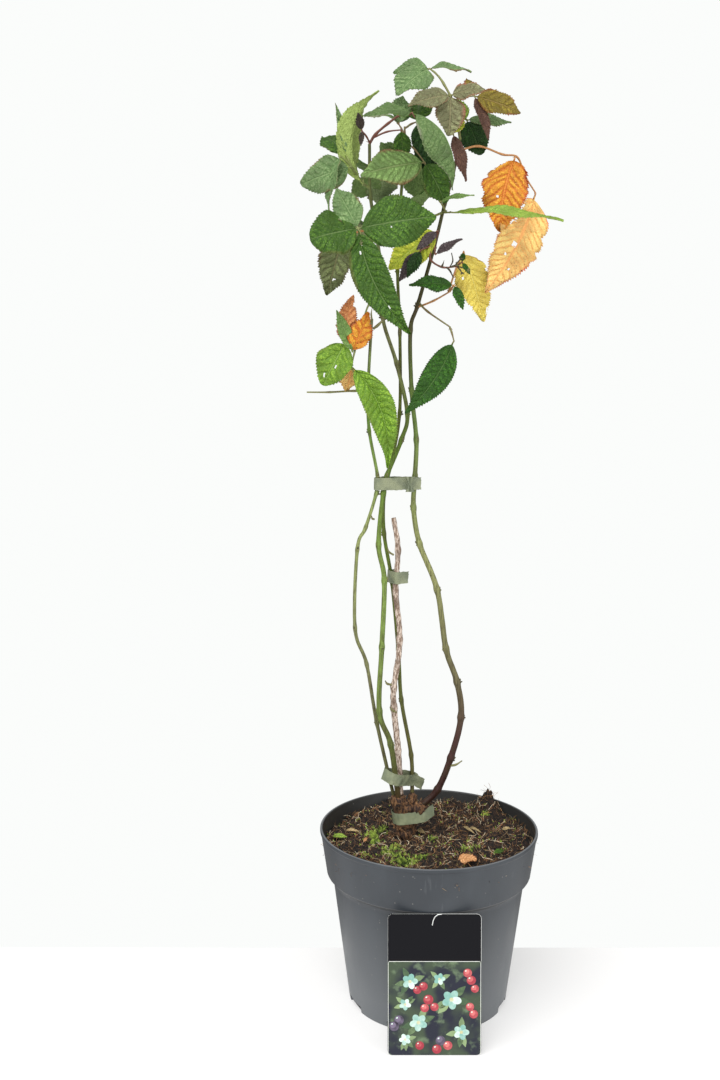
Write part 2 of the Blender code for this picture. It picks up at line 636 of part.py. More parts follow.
def blade(root, fold, heading, rise, length, width, face, lift, arch, sway=0.0):
    """One leaf blade: an egg-shaped sheet, folded along its rib and arched, and swayed to one side."""
    along = direction(heading, rise)
    up = direction(face, lift)
    up = (up - up.dot(along) * along).normalized()
    side = along.cross(up)
    length, width, arch = length * MM, width * MM, math.radians(arch)
    bend = length / 2 / math.sin(arch / 2)
    work = bmesh.new()
    bmesh.ops.create_grid(work, x_segments=LEAF_STEPS, y_segments=2, size=1)
    mesh = bpy.data.meshes.new("blade")
    for vertex in work.verts:
        t = (vertex.co.x + 1) / 2
        across = vertex.co.y
        turn = arch * (0.5 - t)
        ahead = bend * (math.sin(arch / 2) - math.sin(turn))
        above = bend * (math.cos(turn) - math.cos(arch / 2))
        normal = up * math.cos(turn) - along * math.sin(turn)
        half = width / 2 * outline(t)
        out = side * math.cos(fold) * across + normal * math.sin(fold) * abs(across)
        aside = side * sway * length * 4 * t * (1 - t)
        vertex.co = root + along * (ahead + BLADE_START) + up * above + aside + out * half
    work.to_mesh(mesh)
    work.free()
    obj = bpy.data.objects.new("blade", mesh)
    model.objects.link(obj)
    sheet = obj.modifiers.new("Thickness", "SOLIDIFY")
    sheet.thickness = LEAF_THICKNESS
    sheet.offset = 0
    return baked(obj, "blade")


def outline(t):
    """A blade's half-width at a share of its length: a narrow neck, a round base and a fine tip."""
    s = max(0.0, min(1.0, (t - NECK_SHARE) / (1 - NECK_SHARE)))
    belly = max(0.0, math.sin(math.pi * s ** 0.78)) ** 0.8
    return NECK_WIDTH + 1.07 * (1 - NECK_WIDTH) * belly * (1 - 0.25 * s)


def build_foliage(name, spec, canes):
    """One mass: a twig that leaves its cane, with stalks and blades fused to it."""
    chance = random.Random(f"{name} {SEED}")
    radius = spec["radius"] * MM
    path = [Vector(point) for point in spec["twig"]]
    centre, aim, thick = canes[spec["cane"]].nearest(path[0] * MM)
    if (centre - canes[spec["cane"]].centres[-1]).length < WELD:
        path[0] = (centre + GAP * aim) / MM
        path.insert(1, path[0] + TIP_LEAD * aim)
    else:
        out = (path[1] * MM - centre).normalized()
        slide = abs(out.dot(aim))
        clear = (thick + GAP + radius * slide) / math.sqrt(1 - slide ** 2)
        path[0] = (centre + out * clear) / MM
    twig = Cane([tuple(point) for point in path], (spec["radius"], TWIG_TAPER * spec["radius"]), TWIG_STEP)
    pieces = [tube(name, twig.centres, twig.radii, 1)]
    lengths = [0.0]
    for a, b in zip(twig.centres, twig.centres[1:]):
        lengths.append(lengths[-1] + (b - a).length)
    for share, stalk, blades in spec["leaves"]:
        wanted = share * lengths[-1]
        k = max(i for i in range(len(lengths) - 1) if lengths[i] <= wanted)
        part = (wanted - lengths[k]) / (lengths[k + 1] - lengths[k])
        root = twig.centres[k].lerp(twig.centres[k + 1], part)
        joint = root + direction(*stalk[:2]) * stalk[2] * MM
        bow = root.lerp(joint, 0.5) + Vector((0, 0, STALK_BOW * stalk[2] * MM))
        pieces.append(tube("stalk", [root, bow, joint], [STALK_RADIUS] * 3, 0))
        bpy.ops.mesh.primitive_ico_sphere_add(subdivisions=1, radius=KNOB_RADIUS, location=joint)
        pieces.append(baked(bpy.context.object, "knob"))
        for row in blades:
            fold = math.radians(chance.uniform(*FOLD))
            pieces.append(blade(joint, fold, *row))
    mass = fused(name, pieces)
    smooth(mass, 50)
    paint(mass, spec["tint"], 0.55)


build_pot()
build_soil()
all_canes = build_canes()
for tie_name, tie in TIES.items():
    build_tie(tie_name, all_canes, tie["canes"], tie["height"], tie["slant"])
build_card()
for mass_name, mass_spec in FOLIAGE.items():
    build_foliage(mass_name, mass_spec, all_canes)
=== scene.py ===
"""A potted thornless bramble in autumn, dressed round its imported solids.

Metres, +Z up, the front facing -Y. Rows of sizes are in millimetres and degrees. Headings turn
anticlockwise from +X as seen from above; rises are above the level.
"""

import json
import math
import random

import bpy
from mathutils import Matrix, Vector, noise
from mathutils.geometry import convex_hull_2d

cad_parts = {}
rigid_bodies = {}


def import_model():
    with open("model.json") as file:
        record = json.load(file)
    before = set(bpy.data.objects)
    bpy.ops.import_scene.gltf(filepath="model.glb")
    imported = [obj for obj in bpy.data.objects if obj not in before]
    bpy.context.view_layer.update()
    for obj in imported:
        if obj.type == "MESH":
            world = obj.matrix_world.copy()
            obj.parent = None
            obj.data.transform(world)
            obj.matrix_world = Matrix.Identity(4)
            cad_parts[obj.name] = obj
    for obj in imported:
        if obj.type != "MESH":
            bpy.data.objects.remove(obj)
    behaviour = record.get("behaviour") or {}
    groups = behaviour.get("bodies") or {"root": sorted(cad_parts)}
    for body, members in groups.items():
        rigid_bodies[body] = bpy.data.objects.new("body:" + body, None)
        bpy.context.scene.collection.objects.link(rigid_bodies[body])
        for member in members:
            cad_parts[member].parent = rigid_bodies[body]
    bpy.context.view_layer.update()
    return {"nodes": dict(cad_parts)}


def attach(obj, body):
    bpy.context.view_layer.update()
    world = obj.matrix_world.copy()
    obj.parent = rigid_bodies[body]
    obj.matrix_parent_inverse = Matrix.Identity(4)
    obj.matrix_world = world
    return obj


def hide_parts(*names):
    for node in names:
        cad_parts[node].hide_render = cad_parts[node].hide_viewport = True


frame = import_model()

MM = 0.001
SEED = 7

# Pot, as in the solids, with the rounding of its edges
POT_HEIGHT = 156 * MM
RIM_RADIUS = 95.3 * MM
COLLAR_DEPTH = 40 * MM
COLLAR_FOOT_RADIUS = 90.2 * MM
COLLAR_STEP = 4 * MM
BODY_TOP_RADIUS = 85 * MM
BASE_RADIUS = 70.3 * MM
WALL = 1.4 * MM
LIP = 0.9 * MM
LIP_DEPTH = 3 * MM
NOTCHES = 8
NOTCH_WIDTH = 24 * MM
NOTCH_HEIGHT = 6 * MM
EDGE_ROUNDING = 1.1 * MM
POT_STEPS = 192

# Soil, as in the solids, with finer lumps
SOIL_LEVEL = 142 * MM
SOIL_ROUGHNESS = 2.2
SOIL_RINGS = 72
SOIL_STEPS = 216
SOIL_SWELL = 5 * MM
SWELL_REACH = 70 * MM
CLOD = Vector((58 * MM, 58 * MM))
CLOD_HEIGHT = 20 * MM
CLOD_RADIUS = 8.5 * MM
CROWN_PLACE = Vector((-20 * MM, 9 * MM))
CROWN_PAD = 27 * MM

# Moss cushions: place and radius; elsewhere only single sprigs
MOSS = ((-51, 11, 8), (-43, 22, 8), (-47, -3, 6), (-36, -25, 10), (-28, -43, 10), (-17, -47, 9),
        (-30, -17, 7), (-9, -39, 7), (-56, -32, 4), (4, -1, 5), (35, -25, 7), (32, -14, 4), (56, 44, 4))
MOSS_SPRIGS = 0.012

# Crumbs of the soil: height in mm, and how many to the metre; and in how many shapes each kind of
# loose bit is made
CRUMBS = ((2.6, 110), (2.2, 300), (1.0, 750))
BIT_SHAPES = 6
TUFT_LEAVES = 12
GOLDEN_ANGLE = 137.5

# Fallen leaves on the soil: place, heading, length, width and tint
LITTER = ((-86, 5, -15, 14, 6, "lime"), (22, -46, -15, 16, 13, "dead"), (54, -33, 15, 9, 6, "green"),
          (-74, 19, -22, 13, 4, "straw"), (33, 22, -69, 24, 3, "straw"), (38, 16, -60, 18, 3, "straw"),
          (-9, 20, -60, 13, 5, "straw"), (-58, -10, 70, 9, 4, "dead"), (66, 8, 20, 8, 4, "straw"))

# Canes: path, with a node at each inner point, radii at the foot and tip, number of solids, and
# the bark's colour by height, or for the old cane its light and dark tone
CANES = {
    "stem_left": dict(
        path=((-31, 8, 182), (-46, 1, 250), (-55, -9, 305), (-65, -15, 338), (-63, -16, 406),
              (-56, -13, 424), (-47, -9, 453), (-46, -10, 468), (-53, -13, 506), (-54, -14, 540),
              (-51, -13, 598)),
        radii=(1.6, 1.25), parts=3,
        bark=((182, (0.080, 0.078, 0.028)), (300, (0.155, 0.160, 0.070)), (430, (0.200, 0.235, 0.080)),
              (520, (0.110, 0.225, 0.025)), (598, (0.150, 0.155, 0.065)))),
    "stem_green": dict(
        path=((-27, 3, 182), (-34, -4, 232), (-44, -8, 263), (-42, -9, 320), (-40, -8, 378),
              (-45, -9, 409), (-41, -8, 453), (-38, -9, 468), (-26, -8, 498), (-21, -6, 520),
              (-30, 2, 562), (-42, 9, 602), (-44, 12, 649), (-52, 10, 700), (-53, 6, 742)),
        radii=(2.4, 1.3), parts=4,
        bark=((182, (0.050, 0.030, 0.010)), (250, (0.105, 0.145, 0.030)), (370, (0.170, 0.250, 0.055)),
              (490, (0.075, 0.130, 0.010)), (580, (0.150, 0.160, 0.060)), (742, (0.115, 0.140, 0.045)))),
    "stem_back": dict(
        path=((-14, 14, 182), (-15, 18, 215), (-24, 18, 266), (-27, 15, 312), (-33, 11, 374),
              (-40, 5, 417), (-40, 4, 452), (-34, 5, 478), (-27, 8, 520), (-27, 9, 588),
              (-29, 13, 640), (-27, 12, 690), (-24, 4, 739)),
        radii=(1.8, 1.2), parts=3,
        bark=((182, (0.085, 0.075, 0.022)), (430, (0.105, 0.160, 0.020)), (550, (0.080, 0.095, 0.012)),
              (739, (0.105, 0.135, 0.030)))),
    "stem_right": dict(
        path=((-4, 4, 175), (8, 2, 189), (19, -4, 220), (27, -9, 258), (23, -12, 290),
              (13, -14, 320), (5, -14, 371), (-10, -8, 410), (-15, -3, 440), (-14, -3, 466),
              (-13, -2, 498), (-17, 3, 540), (-18, 8, 590), (-12, 8, 611), (1, 6, 657),
              (10, 4, 694), (16, 4, 715), (22, 4, 745)),
        radii=(2.9, 1.2), parts=4,
        bark=((175, (0.026, 0.009, 0.006)), (240, (0.050, 0.019, 0.016)), (305, (0.120, 0.110, 0.050)),
              (400, (0.200, 0.210, 0.080)), (520, (0.115, 0.180, 0.038)), (600, (0.050, 0.044, 0.012)),
              (745, (0.078, 0.076, 0.024)))),
    "old_stub": dict(
        path=((-25, 9, 182), (-27, 9, 222), (-31, 8, 262), (-31, 6, 280), (-26, 5, 323),
              (-30, 2, 368), (-28, 1, 403), (-32, 0, 431)),
        radii=(2.8, 2.1), parts=1,
        bark=((0.68, 0.56, 0.47), (0.26, 0.175, 0.125))),
}
NODE_SWELL = 0.28
NODE_REACH = 3 * MM
CANE_STEP = 1.5 * MM
CANE_SIDES = 24
CANE_RIDGES = 5
YOUNG_RELIEF = dict(Ridge=0.05, Rough=0.16, Grain=260.0)
OLD_RELIEF = dict(Ridge=0.0, Rough=0.8, Grain=520.0)
OLD_BARK_SCALE = 2.6

# Root crown: its stump and right arm, which the lowest tie binds, its foot and top, how finely its
# surface is cut, and the heights in mm between which flakes stand off it
STUMP = dict(path=((-20, 9, 142.3), (-20, 9, 147), (-21, 9, 156), (-21.5, 9, 170), (-22, 9, 176)),
             radii=(7, 7, 8.4, 7.4, 5.5))
ARM_RIGHT = dict(path=((-17, 8, 152), (-10, 6.3, 165), (-4, 4, 175)), radii=(5.6, 3.3))
CROWN_FOOT = 142.3 * MM
CROWN_TOP = 182 * MM
CROWN_BARK_SCALE = 1.6
CROWN_GRAIN = 0.55 * MM
FLAKING = ((145, 155), (173, 180))

# Bare twiglets: path, radii at the foot and tip, and whether a dried flower ends it. The high ones
# are brown, the others olive.
BROWN_ABOVE = 630
TWIGLETS = (
    (((6, -14, 639.5), (7.2, -14.5, 642), (8.4, -14.5, 645.5)), (0.95, 0.15), False),
    (((10, -14, 640), (13, -14, 637.5), (16, -13.5, 632)), (0.75, 0.5), False),
    (((13, -13, 640), (15.5, -14, 645), (14.5, -14, 651)), (0.5, 0.4), False),
    (((13, -13, 640), (16, -14.5, 641), (18.5, -15, 642)), (0.6, 0.45), True),
    (((17, -12.5, 641), (20, -14, 644.5), (21.5, -15, 646.5)), (0.55, 0.4), True),
    (((19, -12, 641), (24, -13.5, 639.5), (28, -14, 637.5)), (0.55, 0.4), True),
    (((19, -12, 641), (21.5, -13.5, 638), (23, -14, 635.5)), (0.55, 0.4), True),
    (((-50, -13, 590), (-46, -13, 593), (-42, -12, 597)), (1.1, 0.9), False),
    (((-51, -13, 598), (-51.5, -13, 602), (-51, -12, 606)), (0.8, 0.3), False),
    (((-32, 0, 399), (-36, -3, 402), (-37, -4, 405)), (0.9, 0.5), False),
    (((-33, 5, 283), (-37, 3, 284.5), (-38.5, 2, 287)), (1.1, 0.5), False),
    (((-29, 7, 258), (-32, 4, 260), (-34, 3, 263)), (1.1, 0.6), False),
    (((-49, -10, 431), (-50.5, -14, 432), (-51, -16, 434)), (0.9, 0.5), False),
    (((17, -3, 212), (23, -6, 214), (28, -8, 218)), (1.1, 0.5), False),
)

# Ties: the canes that each binds, its height and slant, and its loose end with its rise by length
TIES = {
    "tie_top": dict(canes=("stem_left", "stem_green", "stem_back", "stem_right"), height=461, slant=0,
                    tail=3, rise=0.0),
    "tie_middle": dict(canes=("old_stub", "stem_back"), height=379, slant=4, tail=9, rise=0.12),
    "tie_low": dict(canes=("stem_left", "stem_green", "stem_back", "old_stub"), height=198, slant=17,
                    tail=9, rise=-0.35),
    "tie_foot": dict(canes=("stump", "arm_right"), height=163, slant=-6, tail=9, rise=0.45),
}
TIE_DEPTH = 10.5 * MM
TIE_GAP = 0.45 * MM
TIE_STEPS = 16
TAPE = 0.3 * MM
TAPE_STEP = 0.8 * MM
TAPE_COLUMNS = 8
KNOT_OFFSET = 16 * MM
KNOT_HEIGHT = 13 * MM
KNOT_STEPS = 12

# Card, as in the solids, with the heights up it where the picture ends and where the painted highlight along
# its top edge runs, and the hanging slit, drawn as a painted highlight along its edge, and the printed
# blossoms, each a place and a size, and berries
CARD_WIDTH = 76.5 * MM
CARD_HEIGHT = 117 * MM
CARD_THICKNESS = 0.8 * MM
CARD_CORNER = 4 * MM
CARD_FOOT_Y = -102 * MM
PICTURE_TOP = 77.5
GLINT_LINE_TOP = 116.8
SLIT = ((5.9, 116.6), (2.6, 116.2), (0.2, 114.2), (-1.2, 111.2), (-1.9, 107.4))
BLOSSOMS = ((-20, 61, 8), (14, 46, 10), (-13, 27, 9), (22, 19, 8), (-24, 13, 6), (4, 63, 6), (-24, 42, 6))
BERRIES = ((-5, 46), (0, 40), (-8, 39), (30, 62), (33, 55), (27, 68), (5, 12), (11, 8), (2, 5),
           (-33, 24), (-29, 29), (32, 34), (29, 40), (-14, 54), (-9, 57), (-12, 8))

# Leaves; old ones have finer, deeper teeth, more twist and ruffle, and a worn margin
LEAF_THICKNESS = 0.4 * MM
LEAF_COLUMNS = 18
TOOTH = 2.1 * MM
OLD_TOOTH = 1.7 * MM
TOOTH_DEPTH = 1.25 * MM
OLD_TOOTH_DEPTH = 1.5 * TOOTH_DEPTH
TWIST = 14
OLD_TWIST = 24
RUFFLE = 0.06
OLD_RUFFLE = 0.14
LUMPS = 0.30 * MM
OLD_LUMPS = 0.45 * MM
OLD_WEAR = 0.24
VEIN_SPACING = 6.2 * MM
VEIN_SLANT = 0.42
QUILT = 0.068
STALK_RADIUS = 0.65
STIPULE = 3.2 * MM
BLADE_START = 0.5 * MM
NECK_SHARE = 0.05
SLIM_SHAPE = 0.6
ROUND_SHAPE = 0.95

# Folds along the midrib in degrees: the usual range, and single blades by mass and number
FOLD = (8, 18)
FOLDS = {("leaves_arch", 0): -48, ("leaves_centre", 2): 24, ("leaves_low_left", 4): 34,
         ("leaves_left", 0): 30}

# Tints: a leaf's crests, the painted shade in its furrows and creases, veins, under face and margin, how far
# the margin's colour reaches in, how wide the painted furrow shade is and how spotted the blade is
TINTS = {
    "green": ((0.088, 0.182, 0.020), (0.022, 0.070, 0.007), (0.150, 0.220, 0.070), (0.17, 0.27, 0.08),
              (0.090, 0.110, 0.025), 0.10, 0.50, 0.0),
    "bright": ((0.240, 0.395, 0.042), (0.080, 0.185, 0.014), (0.300, 0.430, 0.110), (0.24, 0.36, 0.10),
               (0.150, 0.220, 0.030), 0.08, 0.45, 0.1),
    "deep": ((0.044, 0.145, 0.012), (0.012, 0.050, 0.005), (0.095, 0.180, 0.040), (0.13, 0.21, 0.07),
             (0.035, 0.065, 0.015), 0.05, 0.40, 0.0),
    "dark": ((0.024, 0.078, 0.010), (0.006, 0.026, 0.004), (0.060, 0.115, 0.030), (0.12, 0.19, 0.07),
             (0.040, 0.045, 0.018), 0.06, 0.45, 0.0),
    "grey": ((0.250, 0.355, 0.152), (0.070, 0.150, 0.042), (0.290, 0.380, 0.170), (0.25, 0.33, 0.15),
             (0.200, 0.110, 0.060), 0.14, 0.60, 0.2),
    "glaucous": ((0.138, 0.205, 0.075), (0.070, 0.135, 0.036), (0.230, 0.310, 0.140), (0.20, 0.34, 0.045),
                 (0.230, 0.240, 0.160), 0.10, 0.40, 0.0),
    "rust": ((0.240, 0.380, 0.120), (0.075, 0.130, 0.030), (0.250, 0.300, 0.120), (0.26, 0.30, 0.14),
             (0.210, 0.075, 0.045), 0.30, 0.55, 0.4),
    "lime": ((0.300, 0.420, 0.070), (0.170, 0.290, 0.030), (0.410, 0.500, 0.150), (0.31, 0.41, 0.11),
             (0.250, 0.290, 0.060), 0.10, 0.40, 0.2),
    "light": ((0.230, 0.360, 0.110), (0.115, 0.230, 0.045), (0.330, 0.440, 0.180), (0.28, 0.38, 0.16),
              (0.220, 0.300, 0.100), 0.08, 0.40, 0.1),
    "bronze": ((0.285, 0.225, 0.030), (0.110, 0.075, 0.012), (0.320, 0.220, 0.070), (0.30, 0.29, 0.09),
               (0.290, 0.075, 0.045), 0.34, 0.55, 0.3),
    "blush": ((0.270, 0.290, 0.140), (0.120, 0.105, 0.055), (0.330, 0.300, 0.150), (0.30, 0.31, 0.15),
              (0.330, 0.120, 0.080), 0.30, 0.50, 0.3),
    "maroon": ((0.160, 0.085, 0.055), (0.060, 0.026, 0.020), (0.200, 0.110, 0.070), (0.20, 0.17, 0.10),
               (0.120, 0.035, 0.035), 0.30, 0.45, 0.1),
    "purple": ((0.140, 0.110, 0.110), (0.040, 0.026, 0.034), (0.160, 0.125, 0.110), (0.20, 0.20, 0.14),
               (0.075, 0.035, 0.045), 0.20, 0.45, 0.1),
    "mottled": ((0.240, 0.290, 0.110), (0.060, 0.070, 0.028), (0.240, 0.210, 0.090), (0.22, 0.22, 0.11),
                (0.150, 0.045, 0.040), 0.40, 0.60, 0.6),
    "turning": ((0.640, 0.640, 0.070), (0.300, 0.410, 0.025), (0.640, 0.660, 0.160), (0.60, 0.62, 0.14),
                (0.600, 0.400, 0.040), 0.20, 0.45, 0.3),
    "yellow": ((0.900, 0.690, 0.165), (0.640, 0.480, 0.060), (0.740, 0.680, 0.220), (0.78, 0.66, 0.20),
               (0.720, 0.330, 0.060), 0.14, 0.35, 0.4),
    "orange": ((1.000, 0.480, 0.050), (0.500, 0.085, 0.015), (0.860, 0.380, 0.060), (0.78, 0.40, 0.11),
               (0.420, 0.060, 0.030), 0.26, 0.62, 0.8),
    "peach": ((0.970, 0.670, 0.235), (0.900, 0.420, 0.125), (0.740, 0.330, 0.120), (0.84, 0.54, 0.26),
              (0.600, 0.120, 0.080), 0.22, 0.40, 0.9),
    "red": ((0.800, 0.400, 0.150), (0.420, 0.110, 0.040), (0.760, 0.460, 0.170), (0.56, 0.26, 0.13),
            (0.280, 0.035, 0.025), 0.30, 0.65, 0.7),
    "bud": ((0.080, 0.062, 0.045), (0.030, 0.022, 0.018), (0.110, 0.085, 0.050), (0.11, 0.10, 0.06),
            (0.060, 0.040, 0.030), 0.20, 0.30, 0.0),
    "dead": ((0.740, 0.410, 0.190), (0.440, 0.190, 0.075), (0.620, 0.330, 0.120), (0.46, 0.20, 0.08),
             (0.220, 0.070, 0.030), 0.25, 0.40, 0.5),
    "straw": ((0.560, 0.440, 0.230), (0.320, 0.220, 0.100), (0.600, 0.490, 0.280), (0.52, 0.40, 0.21),
              (0.320, 0.210, 0.100), 0.20, 0.30, 0.3),
}
OLD_TINTS = ("yellow", "orange", "peach", "red", "dead", "mottled")

# Holes and tears, by the mass and the blade's number in it: share of the length, of the half-width,
# and radius
HOLES = {
    ("leaves_centre", 1): ((0.42, 0.12, 1.3),),
    ("leaves_centre", 2): ((0.12, -0.05, 2.2), (0.20, 0.15, 1.3), (0.72, -0.05, 1.0)),
    ("leaves_left", 0): ((0.80, -1.0, 6.5), (0.66, -1.05, 3.5), (0.25, -0.9, 3.0)),
    ("leaves_left", 2): ((0.55, 0.3, 1.2),),
    ("leaves_orange", 0): ((0.10, 1.1, 8.0), (0.24, 1.15, 4.0), (0.55, 0.30, 0.9)),
    ("leaves_orange", 1): ((0.24, 1.05, 13.0), (0.34, 0.75, 5.0), (0.50, 0.12, 2.6), (0.62, 0.30, 1.4),
                           (0.72, -0.3, 1.1)),
    ("leaves_yellow", 2): ((0.35, 0.5, 1.0), (0.86, -0.8, 2.5)),
    ("leaves_low_left", 0): ((0.55, -0.15, 1.3), (0.80, 0.30, 1.5)),
    ("leaves_low_left", 2): ((0.55, -0.9, 4.0), (0.80, 0.9, 3.0)),
    ("leaves_back_low", 3): ((0.72, -0.2, 1.2),),
}

# Studio: the floor and where it ends behind the pot, the tones of the air and of the wall behind,
# the lights, each with where it comes from, its spread in degrees and its strength, and the camera
FLOOR_SIZE = 300
TABLE_EDGE = 83 * MM
FLOOR_TONE = (0.56, 0.555, 0.55)
FLOOR_GLOW = 0.42
HAZE = (0.40, 0.40, 0.39)
WALL_TONE = (0.965, 0.978, 0.966)
SUNS = (("key", (-0.8, -1.3, 1.7), 60, 2.9), ("fill", (1.3, -1.2, 0.9), 60, 1.1))
LENS = 38.76
SENSOR = 36
CAMERA_PLACE = (-0.0608, -0.9916, 0.5398)
CAMERA_DIP = 0.1283

